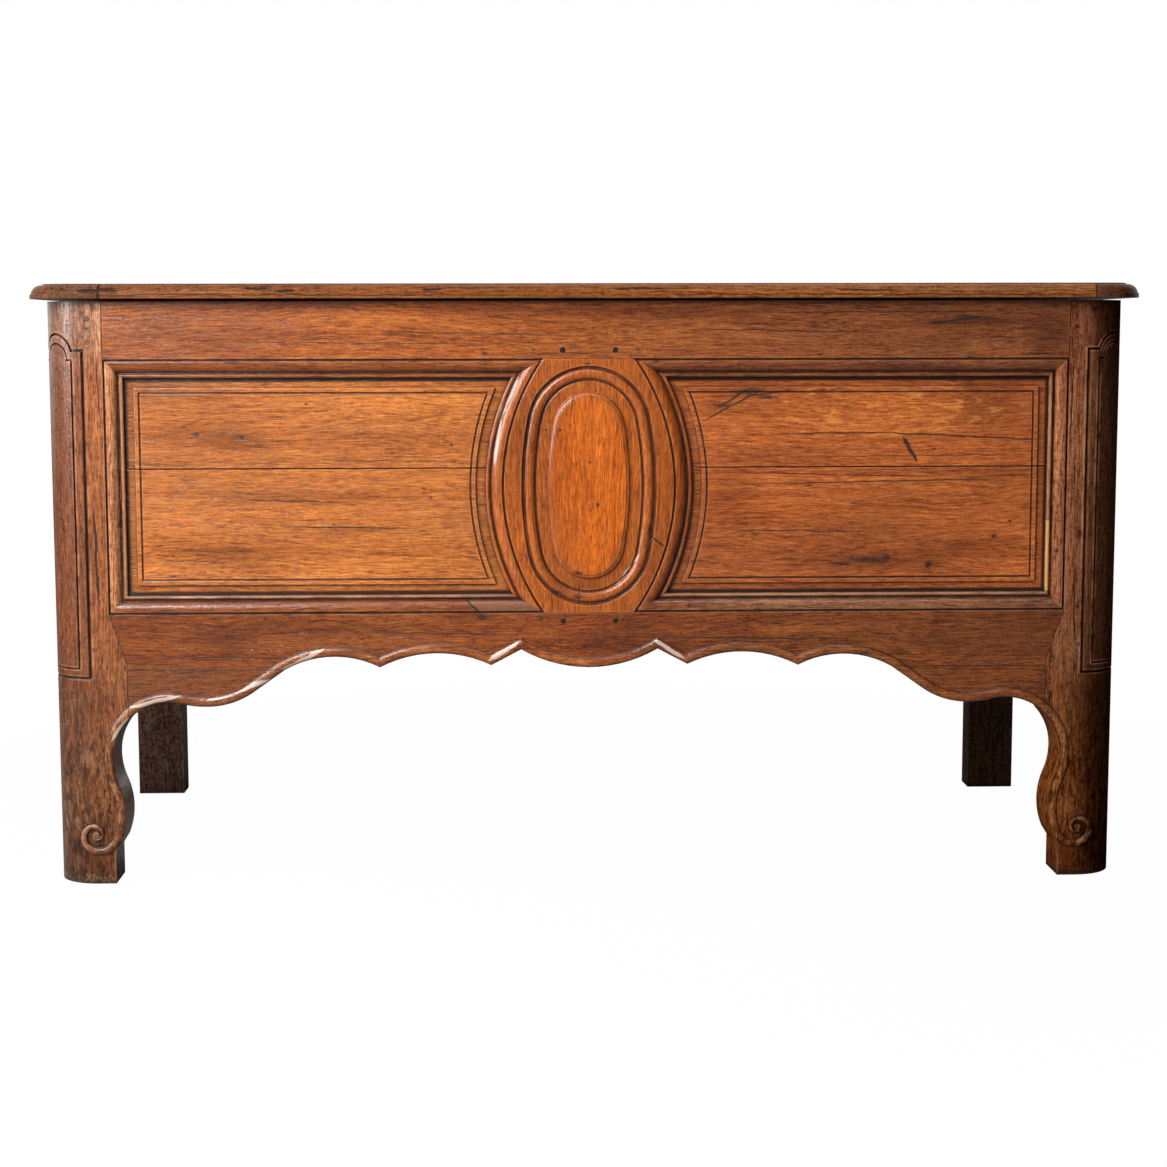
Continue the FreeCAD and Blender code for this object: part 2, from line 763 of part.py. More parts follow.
def apron_rail_body():
    """The lower rail, with the cut apron along the bottom of its board."""
    body = new_body("ApronRail")
    sight = on_arc(MUNTIN_CENTRE, SIGHT_RADIUS, SIGHT_RISE)
    half = apron_edge() + [
        (f"({BRACKET} - ear_length)", "apron_board_height"),
        (BRACKET, "apron_board_height"),
        (BRACKET, "shoulder_foot_height"),
        (SHOULDER, "bottom_line_height"),
        (OPENING, OPENING_BOTTOM),
        (sight, OPENING_BOTTOM),
        ("(muntin_head / 2)", "bottom_line_height"),
    ]
    outline_board(body, whole_round(half, ("pendant_drop", (0, -1))), "frame_thickness")
    rail_moulding(body, "bottom_line_height", "1")
    front_tenons(body, "shoulder_foot_height", "bottom_line_height")
    front_rail_recesses(body, (f"({OPENING_BOTTOM} - groove_depth)", OPENING_BOTTOM),
                        ("(bottom_line_height - tenon_length - mortise_play)", "bottom_line_height"))
    return body


def ear_body(side, name):
    """A glued-on piece that carries the apron down towards the foot."""
    body = new_body(name)
    path = ear_edge() + [(BRACKET, "bracket_height"), (BRACKET, "apron_board_height")]
    outline_board(body, path_to_side(side, path), "frame_thickness")
    return body


def stretch_curves(path):
    """The lines and arcs of an open outline of the front view, as curves in the XZ plane."""
    corners = [FreeCAD.Vector(measure(point[0]), 0, measure(point[1])) for point in path]
    curves = []
    for point, start, end in zip(path, corners, corners[1:]):
        if len(point) == 2:
            curves.append(Part.LineSegment(start, end))
            continue
        chord = end - start
        square = FreeCAD.Vector(-chord.z, 0, chord.x).normalize()
        if square.dot(FreeCAD.Vector(point[3][0], 0, point[3][1])) < 0:
            square = square.negative()
        crown = (start + end) / 2 + square * measure(point[2])
        curves.append(Part.ArcOfCircle(start, crown, end))
    return curves


def heading(curve, at_end):
    """The direction of travel at one end of a curve."""
    parameter = curve.LastParameter if at_end else curve.FirstParameter
    return FreeCAD.Vector(*curve.tangent(parameter)[0])


def bead_section(point, travel, width):
    """The bead's round section at a point of the edge, square to the direction of travel."""
    inward = FreeCAD.Vector(-travel.z, 0, travel.x)
    stand = FreeCAD.Vector(0, -measure("edge_bead_stand"), 0)
    root = FreeCAD.Vector(0, measure("edge_bead_stand"), 0)
    far = point + inward * width
    crown = (point + far) / 2 + stand
    walls = Part.makePolygon([far, far + root, point + root, point])
    return Part.Face(Part.Wire([Part.Arc(point, crown, far).toShape(), *walls.Edges]))


def bead_stretch(curve, width, overrun=0):
    """A bead along one line or arc, on its left seen in the direction of travel."""
    start, travel = curve.StartPoint, heading(curve, False)
    if isinstance(curve, Part.LineSegment):
        section = bead_section(start - travel * overrun, travel, width)
        return section.extrude(travel * (curve.length() + 2 * overrun))
    upright = FreeCAD.Vector(0, 1, 0)
    spread = curve.length() / curve.Radius
    turn = travel.cross(curve.Center - start).y
    sign = 1 if turn > 0 else -1
    section = bead_section(start, travel, width)
    extra = math.degrees(overrun / curve.Radius)
    section.rotate(curve.Center, upright, -sign * extra)
    return section.revolve(curve.Center, upright, sign * (math.degrees(spread) + 2 * extra))


def before_corner(point, travel, side):
    """A block on one side of a corner: behind it where side is -1 and ahead where it is 1."""
    size = measure("carcass_width")
    block = Part.makeBox(size, size, size, FreeCAD.Vector(0, -size / 2, -size / 2))
    block.rotate(FreeCAD.Vector(), FreeCAD.Vector(0, 1, 0), math.degrees(math.atan2(-travel.z, travel.x)))
    if side < 0:
        block.rotate(FreeCAD.Vector(), FreeCAD.Vector(0, 1, 0), HALF_TURN)
    block.translate(point)
    return block


def mitred_beads(curves, width):
    """Beads along a chain of curves, parted by a hairline on the corners' middle lines."""
    beads = []
    parting = measure("bead_joint_gap / 2")
    for index, curve in enumerate(curves):
        bead = bead_stretch(curve, width, width)
        neighbours = ((index - 1, curve.StartPoint, 1), (index + 1, curve.EndPoint, -1))
        for other, corner, side in neighbours:
            middle = heading(curve, side < 0)
            if 0 <= other < len(curves):
                middle = (middle + heading(curves[other], side > 0)).normalize()
            bead = bead.common(before_corner(corner + middle * (side * parting), middle, side))
        beads.append(bead)
    return beads


def scroll_beads(side):
    """The bead's end on a foot, curled up as a spiral round an eye."""
    centre = FreeCAD.Vector(measure(to_side(side, "(carcass_width / 2 - scroll_from_side)")), 0,
                            measure("scroll_height"))

    def on_spiral(turned):
        radius = measure("scroll_radius") * math.exp(-measure("scroll_shrink_share") * turned)
        return centre + FreeCAD.Vector(-side * math.cos(turned), 0, -math.sin(turned)) * radius

    beads = []
    for step in range(SCROLL_STEPS):
        turned = [SCROLL_STEP * (step + share) for share in (0, 0.5, 1)]
        points = [on_spiral(angle) for angle in turned]
        if side < 0:
            points.reverse()
        width = measure("scroll_bead_width") * math.exp(-measure("scroll_taper_share") * turned[1])
        beads.append(bead_stretch(Part.ArcOfCircle(*points), width))
    toward = FreeCAD.Vector(0, -1, 0)
    eye = Part.makeCylinder(measure("scroll_eye_radius"), measure("edge_bead_stand"), centre, toward)
    return [*beads, eye]


def edge_beads():
    """The bead along the whole lower edge of the front, stretch by stretch, and its two scrolls."""
    half = apron_edge() + ear_edge() + leg_edge()[1:]
    whole = whole_round(half, ("pendant_drop", (0, -1)))
    from_left = whole[len(half):] + whole[:len(half)]
    beads = mitred_beads(stretch_curves(from_left), measure("edge_bead_width"))
    for side in (-1, 1):
        scroll = scroll_beads(side)
        beads.append(scroll[0].fuse(scroll[1:]))
    return beads


def beaded(body, beads, name, across, heights):
    """A front board with its own length of the bead standing along its lower edge."""
    left, right, bottom, top = map(measure, across + heights)
    stand = 2 * measure("edge_bead_stand")
    space = Part.makeBox(right - left, stand, top - bottom, FreeCAD.Vector(left, -stand, bottom))
    lengths = []
    for bead in beads:
        shape = bead.common(space)
        if shape.Solids:
            length = document.addObject("Part::Feature", name + "Bead")
            length.Shape = shape
            length.setExpression("Placement.Base.y", bound(FRONT))
            lengths.append(length)
    return fuse(name + "Beaded", [body, *lengths])


def cartouche_path(inset):
    """The carved panel's outline on the corner, drawn in by an inset."""
    edge = f"(cartouche_half_width - ({inset}))"
    arch = f"(cartouche_arch_half_width - ({inset}) / 2)"
    shoulder = f"(cartouche_shoulder - ({inset}))"
    bottom = f"(cartouche_bottom + ({inset}))"
    return [
        (negative(edge), bottom),
        (edge, bottom),
        (edge, shoulder),
        (arch, shoulder, "cartouche_rise", (0, 1)),
        (negative(arch), shoulder),
        (negative(edge), shoulder),
    ]


def cartouche_tool(side, name):
    """The two lines carved round the panel on a rounded corner, at an even depth."""
    across = to_side(side, f"({HALF} - corner_radius)")
    place = (across, "corner_radius", "cartouche_bottom")
    height = "(cartouche_shoulder - cartouche_bottom + 2 * cartouche_rise)"
    skin = cut(name + "Skin",
               plain_cylinder(name + "Outer", "(corner_radius + overcut)", height, place),
               plain_cylinder(name + "Inner", "(corner_radius - cartouche_sink)", height, place))
    sketch = document.addObject("Sketcher::SketchObject", name + "Lines")
    turn = FreeCAD.Rotation(FreeCAD.Vector(0, 0, 1), HALF_CORNER * side)
    upright = FreeCAD.Rotation(FreeCAD.Vector(1, 0, 0), 90)
    sketch.Placement = FreeCAD.Placement(FreeCAD.Vector(), turn.multiply(upright))
    sketch.setExpression("Placement.Base.x", bound(across))
    sketch.setExpression("Placement.Base.y", bound(f"corner_radius + {FRONT}"))
    for inset in ("0", "cartouche_groove", "cartouche_band", "(cartouche_band + cartouche_line)"):
        draw(sketch, cartouche_path(inset))
    lines = document.addObject("Part::Extrusion", name + "Walls")
    lines.Base = sketch
    lines.DirMode = "Normal"
    lines.Solid = True
    lines.setExpression("LengthFwd", bound("(corner_radius + overcut)"))
    return common(name, skin, lines)


def peg(place, turn):
    return plain_cylinder("Peg", "(peg_diameter / 2)", "peg_length", place, turn)


def front_pegs():
    """Pegs through the stiles' and the muntin's joints, a little proud of the face."""
    joints = {
        "top": (TOP_LINE, "top_rail_face"),
        "lower": ("shoulder_foot_height", "(bottom_line_height - shoulder_foot_height)"),
    }
    pegs = []
    for side in (-1, 1):
        for low, height in joints.values():
            for share in ("low_peg_share", "high_peg_share"):
                across = to_side(side, f"({SHOULDER} + peg_from_shoulder)")
                pegs.append(peg((across, "-peg_stand", f"({low} + {height} * {share})"), ALONG_Y))
        for height in (f"({TOP_LINE} + muntin_peg_rise)", "(bottom_line_height - muntin_peg_rise)"):
            pegs.append(peg((to_side(side, "muntin_peg_from_middle"), "-peg_stand", height), ALONG_Y))
    return node(group("FrontPegs", pegs), "front_pegs")


def front_frame():
    """The front: stiles, rails, ears and muntin, drilled together for their pegs."""
    pegs = front_pegs()
    nails = front_ledger_nails()
    beads = edge_beads()
    for side, name in ((-1, "left"), (1, "right")):
        lines = cartouche_tool(side, "Cartouche" + name)
        carved = cut("StileCarved" + name, stile_body(side, "Stile" + name), lines)
        stile = cut("StilePegged" + name, carved, pegs)
        outer = span_to_side(side, (BRACKET, f"({HALF} + overcut)"))
        node(beaded(stile, beads, "Stile" + name, outer, ("0", "carcass_height")), f"front_stile_{name}")
        inner = span_to_side(side, ("0", BRACKET))
        below = ("-overcut", "apron_board_height")
        node(beaded(ear_body(side, "Ear" + name), beads, "Ear" + name, inner, below), f"apron_ear_{name}")
    nailed = cut("ApronNailed", apron_rail_body(), nails)
    apron = cut("ApronPegged", nailed, pegs)
    above = ("apron_board_height", "carcass_height")
    node(beaded(apron, beads, "Apron", (negative(BRACKET), BRACKET), above), "front_apron_rail")
    node(cut("TopRailPegged", top_rail_body(), pegs), "front_top_rail")
    node(cut("MuntinPegged", muntin_body(), pegs), "front_muntin")


def panel_outline(inset):
    """A front panel's outline, drawn in from the sight edge by an inset."""
    rise = f"({SIGHT_RISE} - ({inset}))"
    radius = f"({SIGHT_RADIUS} + ({inset}))"
    curved = on_arc(MUNTIN_CENTRE, radius, rise)
    sag = f"({MUNTIN_CENTRE} + {radius} - {curved})"
    top = f"({OPENING_TOP} - ({inset}))"
    bottom = f"({OPENING_BOTTOM} + ({inset}))"
    outer = f"({OPENING} - ({inset}))"
    return [(curved, top, sag, (1, 0)), (curved, bottom), (outer, bottom), (outer, top)]


def front_panel(side, name):
    """A raised panel in two boards, one over the other, held in the frame's grooves."""
    body = new_body("Panel" + name)
    board = new_sketch(body, "XZ_Plane", "Tongue", negative("panel_setback"))
    draw(board, path_to_side(side, panel_outline("panel_play - groove_depth")))
    pad_back(body, board, "panel_tongue")
    field = new_sketch(body, "XZ_Plane", "Field", negative("panel_setback"))
    draw(field, path_to_side(side, panel_outline("field_margin")))
    raised = body.newObject("PartDesign::Pad", "RaisedField")
    raised.Profile = field
    raised.setExpression("Length", bound("field_rise"))
    line = new_sketch(body, "XZ_Plane", "Line", "field_rise - panel_setback")
    for inset in ("field_margin + field_line_offset", "field_margin + field_line_offset + field_line_width"):
        draw(line, path_to_side(side, panel_outline(inset)))
    pocket(body, line, "field_line_depth", "FieldLine")
    across = span_to_side(side, ("0", HALF))
    deep = ("0", "frame_thickness")
    halves = {
        "upper": (f"({PANEL_JOINT} + board_gap / 2)", "carcass_height"),
        "lower": ("0", f"({PANEL_JOINT} - board_gap / 2)"),
    }
    for half, heights in halves.items():
        space = plain_box("Half", (across, deep, heights))
        node(common("PanelBoard", body, space), f"front_panel_{name}_{half}")


# Sides and back


def joined_piece(name, spans, tenons=(), recesses=()):
    """A straight piece: a plain stick with tenons added and grooves or mortises taken out."""
    body = new_body(name)
    box_feature(body, "Additive", "Stick", spans)
    for tenon in tenons:
        box_feature(body, "Additive", "Tenon", tenon)
    for recess in recesses:
        box_feature(body, "Subtractive", "Recess", recess)
    return body


def side_moulding(body, side, line, sign):
    """Mould the outer edge of a side rail along its whole length."""
    def place(distance, depth, direction=False):
        if direction:
            return (side, 0)
        return (to_side(side, f"({SIDE} - ({depth}))"), f"({line} + ({sign}) * ({distance}))")
    sketch = new_sketch(body, "XZ_Plane", "MouldingSection", "-stile_depth")
    draw(sketch, moulding_section(place))
    pocket(body, sketch, f"{POST_FRONT} - stile_depth", "Moulding")


def side_frame(side, name, pegs):
    """The top rail, lower rail and raised panel of one end."""
    thick = span_to_side(side, (SIDE_INNER, SIDE))
    tenon = span_to_side(side, SIDE_TENON)
    groove = span_to_side(side, SIDE_GROOVE)
    grooves = {
        "Top": (OPENING_TOP, f"({OPENING_TOP} + groove_depth)"),
        "Lower": (f"({OPENING_BOTTOM} - groove_depth)", OPENING_BOTTOM),
    }
    mouldings = {"Top": (TOP_LINE, "-1"), "Lower": ("bottom_line_height", "1")}
    for rail, (low, high) in SIDE_RAILS.items():
        tenon_height = (f"({low} + tenon_shoulder)", f"({high} - tenon_shoulder)")
        body = joined_piece(
            f"Side{rail}{name}", (thick, ("stile_depth", POST_FRONT), (low, high)),
            [(tenon, ("(stile_depth / 2)", "stile_depth"), tenon_height),
             (tenon, (POST_FRONT, f"({POST_FRONT} + post_tenon_length)"), tenon_height)],
            [(groove, ("stile_depth", POST_FRONT), grooves[rail])])
        side_moulding(body, side, *mouldings[rail])
        node(cut(f"SidePegged{rail}{name}", body, pegs), f"side_{rail.lower()}_rail_{name}")
    body = new_body("SidePanel" + name)
    into = "(groove_depth - panel_play)"
    box_feature(body, "Additive", "Board", (
        groove, (f"(stile_depth - {into})", f"({POST_FRONT} + {into})"),
        (f"({OPENING_BOTTOM} - {into})", f"({OPENING_TOP} + {into})")))
    face = span_to_side(side, (f"({SIDE} - panel_setback)", f"({SIDE} - panel_setback + field_rise)"))
    box_feature(body, "Additive", "RaisedField", (
        face, ("(stile_depth + field_margin)", f"({POST_FRONT} - field_margin)"),
        (f"({OPENING_BOTTOM} + field_margin)", f"({OPENING_TOP} - field_margin)")))
    node(body, f"side_panel_{name}")


def rear_pegs():
    """Pegs through the rear posts, from the back and from the ends."""
    pegs = []
    for side in (-1, 1):
        for low, high in SIDE_RAILS.values():
            for share in ("low_peg_share", "high_peg_share"):
                height = f"({low} + ({high} - {low}) * {share})"
                across = to_side(side, f"({POST_INNER} + peg_from_shoulder)")
                deep = "(carcass_depth + peg_stand - peg_length)"
                pegs.append(peg((across, deep, height), ALONG_Y))
                start = f"({SIDE} + peg_stand - peg_length)" if side > 0 else negative(f"{SIDE} + peg_stand")
                pegs.append(peg((start, f"({POST_FRONT} + peg_from_shoulder)", height), ALONG_X))
    return node(group("RearPegs", pegs), "rear_pegs")


def rear_post(side, name, pegs):
    """A square post that is the rear corner and the rear leg in one."""
    panel_height = (f"({OPENING_BOTTOM} - groove_depth)", f"({OPENING_TOP} + groove_depth)")
    recesses = [
        (SIDE_GROOVE, (POST_FRONT, f"({POST_FRONT} + groove_depth)"), panel_height),
        ((POST_INNER, f"({POST_INNER} + groove_depth)"), REAR_PANEL, panel_height),
    ]
    for low, high in SIDE_RAILS.values():
        tenon_height = (f"({low} + tenon_shoulder)", f"({high} - tenon_shoulder)")
        side_mortise = (POST_FRONT, f"({POST_FRONT} + post_tenon_length + mortise_play)")
        recesses.append((SIDE_TENON, side_mortise, tenon_height))
        rear_mortise = (POST_INNER, f"({POST_INNER} + tenon_length + mortise_play)")
        recesses.append((rear_mortise, REAR_TENON, tenon_height))
    recesses = [(span_to_side(side, spans[0]), *spans[1:]) for spans in recesses]
    body = joined_piece("Post" + name, (
        span_to_side(side, (POST_INNER, SIDE)), (POST_FRONT, "carcass_depth"), ("0", "carcass_height")),
        (), recesses)
    node(cut("PostPegged" + name, body, pegs), f"rear_post_{name}")


def rear_frame(pegs):
    """The plain back: two rails, a muntin and two flat panels between the posts."""
    whole = (negative(POST_INNER), POST_INNER)
    thick = (REAR_INNER, "carcass_depth")
    half = "(rear_muntin_width / 2)"
    stub = f"({half} - tenon_shoulder)"
    leaf_nails = hinge_leaf_nails()
    ledger_nails = rear_ledger_nails()
    grooves = {
        "Top": ((OPENING_TOP, f"({OPENING_TOP} + groove_depth)"),
                (OPENING_TOP, f"({OPENING_TOP} + tenon_length + mortise_play)"), leaf_nails),
        "Lower": ((f"({OPENING_BOTTOM} - groove_depth)", OPENING_BOTTOM),
                  (f"({OPENING_BOTTOM} - tenon_length - mortise_play)", OPENING_BOTTOM), ledger_nails),
    }
    for rail, (low, high) in SIDE_RAILS.items():
        groove, mortise, nails = grooves[rail]
        tenon_height = (f"({low} + tenon_shoulder)", f"({high} - tenon_shoulder)")
        reach = (POST_INNER, f"({POST_INNER} + tenon_length)")
        tenons = [(span_to_side(side, reach), REAR_TENON, tenon_height) for side in (-1, 1)]
        recesses = [(whole, REAR_PANEL, groove), ((negative(stub), stub), REAR_TENON, mortise)]
        body = joined_piece("Rear" + rail, (whole, thick, (low, high)), tenons, recesses)
        nailed = cut("RearNailed" + rail, body, nails)
        node(cut("RearPegged" + rail, nailed, pegs), f"rear_{rail.lower()}_rail")
    upright = (OPENING_BOTTOM, OPENING_TOP)
    tenons = [((negative(stub), stub), REAR_TENON, (OPENING_TOP, f"({OPENING_TOP} + tenon_length)")),
              ((negative(stub), stub), REAR_TENON, (f"({OPENING_BOTTOM} - tenon_length)", OPENING_BOTTOM))]
    groove = (f"({half} - groove_depth)", half)
    recesses = [(span_to_side(side, groove), REAR_PANEL, upright) for side in (-1, 1)]
    muntin = joined_piece("RearMuntin", ((negative(half), half), thick, upright), tenons, recesses)
    node(muntin, "rear_muntin")
    into = "(groove_depth - panel_play)"
    for side, name in ((-1, "left"), (1, "right")):
        across = span_to_side(side, (f"({half} - {into})", f"({POST_INNER} + {into})"))
        heights = (f"({OPENING_BOTTOM} - {into})", f"({OPENING_TOP} + {into})")
        node(plain_box("RearPanel" + name, (across, REAR_PANEL, heights)), f"rear_panel_{name}")


# Bottom of the chest


def nail(head_place, shank_place, turn, length):
    """A forged nail: a flat round head and a shank."""
    head = plain_cylinder("NailHead", "(nail_head_diameter / 2)", "nail_head_stand", head_place, turn)
    shank = plain_cylinder("NailShank", "(nail_diameter / 2)", length, shank_place, turn)
    return fuse("Nail", [head, shank])


def ledger_nail_places():
    return [f"({share} * {BRACKET})" for share in LEDGER_NAIL_SHARES]


def front_ledger_nails():
    """Nails through the front ledger into the apron rail, headed inside the chest."""
    height = "(ledger_height + ledger_size / 2)"
    face = "(frame_thickness + ledger_size)"
    into = "(ledger_size + nail_length / 2)"
    nails = [nail((x, face, height), (x, f"({face} - {into})", height), ALONG_Y, into)
             for x in ledger_nail_places()]
    return node(group("FrontLedgerNails", nails), "front_ledger_nails")


def rear_ledger_nails():
    """Nails through the rear ledger into the rear lower rail, headed inside the chest."""
    height = "(ledger_height + ledger_size / 2)"
    face = f"({REAR_INNER} - ledger_size)"
    into = "(ledger_size + nail_length / 2)"
    nails = [nail((x, f"({face} - nail_head_stand)", height), (x, face, height), ALONG_Y, into)
             for x in ledger_nail_places()]
    return node(group("RearLedgerNails", nails), "rear_ledger_nails")


def labelled(label):
    """The finished piece of a name."""
    return next(item for item in NODES if item.Label == label)


def chest_floor():
    """Boards laid from front to back on a ledger along each long side."""
    heights = ("ledger_height", FLOOR_BOTTOM)
    reach = f"({BRACKET} - floor_play)"
    front = plain_box("FrontLedger", (
        (negative(reach), reach), ("frame_thickness", "(frame_thickness + ledger_size)"), heights))
    node(cut("FrontLedgerNailed", front, labelled("front_ledger_nails")), "floor_ledger_front")
    rear = plain_box("RearLedger", (
        (negative(reach), reach), (f"({REAR_INNER} - ledger_size)", REAR_INNER), heights))
    node(cut("RearLedgerNailed", rear, labelled("rear_ledger_nails")), "floor_ledger_rear")
    edge = f"({SIDE_INNER} - floor_play)"
    width = f"((2 * {edge} - {FLOOR_BOARDS - 1} * floor_gap) / {FLOOR_BOARDS})"
    deep = ("(frame_thickness + floor_play)", f"({REAR_INNER} - floor_play)")
    thick = (FLOOR_BOTTOM, f"({FLOOR_BOTTOM} + floor_thickness)")
    for index in range(FLOOR_BOARDS):
        start = f"({index} * ({width} + floor_gap) - {edge})"
        recesses = []
        if index in (0, FLOOR_BOARDS - 1):
            side = 1 if index else -1
            recesses = [
                (span_to_side(side, (f"({OPENING} - floor_play)", HALF)),
                 ("0", "(stile_depth + floor_play)"), thick),
                (span_to_side(side, (f"({POST_INNER} - floor_play)", HALF)),
                 (f"({POST_FRONT} - floor_play)", "carcass_depth"), thick),
            ]
        body = joined_piece(f"Floor{index}", ((start, f"({start} + {width})"), deep, thick), (), recesses)
        node(body, f"floor_board_{index + 1}")


# Lid


def lid_blank():
    """The whole lid before it is told into boards: round front corners, moulded edge."""
    body = new_body("LidBlank")
    sketch = new_sketch(body, "XY_Plane", "Plan", LID_BOTTOM)
    corner = "lid_corner_radius"
    sag = f"({corner} * (1 - sqrt(2) / 2))"
    front = negative("lid_overhang")
    plan = [
        (LID_HALF, "carcass_depth"),
        (LID_HALF, f"({front} + {corner})", sag, (1, -1)),
        (f"({LID_HALF} - {corner})", front),
        (negative(f"{LID_HALF} - {corner}"), front, sag, (-1, -1)),
        (negative(LID_HALF), f"({front} + {corner})"),
        (negative(LID_HALF), "carcass_depth"),
    ]
    draw(sketch, plan)
    board = body.newObject("PartDesign::Pad", "Board")
    board.Profile = sketch
    board.setExpression("Length", bound("lid_thickness"))
    path = new_sketch(body, "XY_Plane", "EdgePath", LID_TOP)
    draw(path, plan)
    section = new_sketch(body, "XZ_Plane", "EdgeSection", negative("carcass_depth"))
    step = f"({LID_TOP} - lid_step)"
    lip = f"({step} - lid_ovolo_height)"
    draw(section, [
        (f"({LID_HALF} + overcut)", f"({LID_TOP} + overcut)"),
        (f"({LID_HALF} - lid_lip - lid_ovolo_width)", f"({LID_TOP} + overcut)"),
        (f"({LID_HALF} - lid_lip - lid_ovolo_width)", step, "lid_ovolo_swell", (1, 1)),
        (f"({LID_HALF} - lid_lip)", lip),
        (f"({LID_HALF} + overcut)", lip),
    ])
    document.recompute()
    edge = body.newObject("PartDesign::SubtractivePipe", "EdgeMoulding")
    edge.Profile = section
    edge.Spine = (path, [f"Edge{number}" for number in range(1, 6)])
    edge.Mode = "Standard"
    edge.Transition = "Transformed"
    return body


def strap_nails():
    """Nails up through the straps into the lid."""
    nails = []
    for side in (-1, 1):
        for share in STRAP_NAIL_SHARES:
            across, deep = to_side(side, HINGE), f"({share} * carcass_depth)"
            nails.append(nail((across, deep, "(carcass_height - nail_head_stand)"),
                              (across, deep, "carcass_height"), UPRIGHT,
                              "(strap_thickness + lid_nail_length)"))
    return node(group("StrapNails", nails), "lid_strap_nails")


def lid():
    """Three boards lengthwise between two end cleats, on the straps of the hinges."""
    blank = lid_blank()
    nails = strap_nails()
    cleats = {-1: "left_cleat_width", 1: "right_cleat_width"}
    inner = {side: f"({LID_HALF} - {width})" for side, width in cleats.items()}
    middle = (f"({LID_BOTTOM} + (lid_thickness - cleat_tongue_thickness) / 2)",
              f"({LID_BOTTOM} + (lid_thickness + cleat_tongue_thickness) / 2)")
    heights = (LID_BOTTOM, f"({LID_TOP} + overcut)")
    front = negative("lid_overhang")
    whole = (f"({front} - overcut)", "(carcass_depth + overcut)")
    tongued = (f"({front} + cleat_tongue_stop)", "(carcass_depth + overcut)")
    for side, name in ((-1, "left"), (1, "right")):
        across = span_to_side(side, (inner[side], f"({LID_HALF} + overcut)"))
        space = plain_box("CleatSpace", (across, whole, heights))
        sunk = span_to_side(side, (inner[side], f"({inner[side]} + cleat_tongue_length + mortise_play)"))
        groove = plain_box("CleatGroove", (sunk, tongued, middle))
        node(cut("Cleat" + name, common("CleatBlank", blank, space), groove), f"lid_cleat_{name}")
    first = f"({front} + front_board_width)"
    second = f"({first} + middle_board_width)"
    boards = {
        "front": (f"({front} - overcut)", f"({first} - lid_board_gap / 2)", f"({front} + cleat_tongue_stop)"),
        "middle": (f"({first} + lid_board_gap / 2)", f"({second} - lid_board_gap / 2)", None),
        "rear": (f"({second} + lid_board_gap / 2)", "carcass_depth", None),
    }
    for name, (start, end, stop) in boards.items():
        space = plain_box("BoardSpace", ((negative(inner[-1]), inner[1]), (start, end), heights))
        tongue = plain_box("BoardTongue", (
            (negative(f"{inner[-1]} + cleat_tongue_length"), f"({inner[1]} + cleat_tongue_length)"),
            (stop or start, end), middle))
        board = fuse("BoardTongued", [common("BoardBlank", blank, space), tongue])
        node(cut("BoardNailed", board, nails), f"lid_board_{name}")


# Hinges


def round_sketch(body, radius, offset):
    """A sketch of a circle about the pin's axis."""
    sketch = new_sketch(body, "YZ_Plane", "Round", offset)
    centre = FreeCAD.Vector(measure(PIN_DEPTH), measure(PIN_HEIGHT), 0)
    ring = sketch.addGeometry(Part.Circle(centre, FreeCAD.Vector(0, 0, 1), measure(radius)))
    pin_point(sketch, ring, 3, PIN_DEPTH, PIN_HEIGHT)
    rule = sketch.addConstraint(Sketcher.Constraint("Radius", ring, measure(radius)))
    sketch.setExpression(f"Constraints[{rule}]", bound(radius))
    return sketch


def bore_eye(body, width):
    """Bore a rolled eye for the pin to turn in."""
    sketch = round_sketch(body, "(pin_radius + pin_play)", f"({width} / 2)")
    pocket(body, sketch, width, "Bore")


def strap_profile():
    """A strap seen from its side: a flat bar whose end is rolled round the pin."""
    drop = "(eye_radius - strap_thickness)"
    reach = f"sqrt(eye_radius ^ 2 - {drop} ^ 2)"
    half_chord = f"(({reach} ^ 2 + strap_thickness ^ 2) / 4)"
    rolled = f"(eye_radius + sqrt(eye_radius ^ 2 - {half_chord}))"
    return [
        ("strap_rest", "carcass_height"),
        (f"({PIN_DEPTH} - {reach})", "carcass_height", rolled, (1, -1)),
        (PIN_DEPTH, LID_BOTTOM),
        ("strap_rest", LID_BOTTOM),
    ]


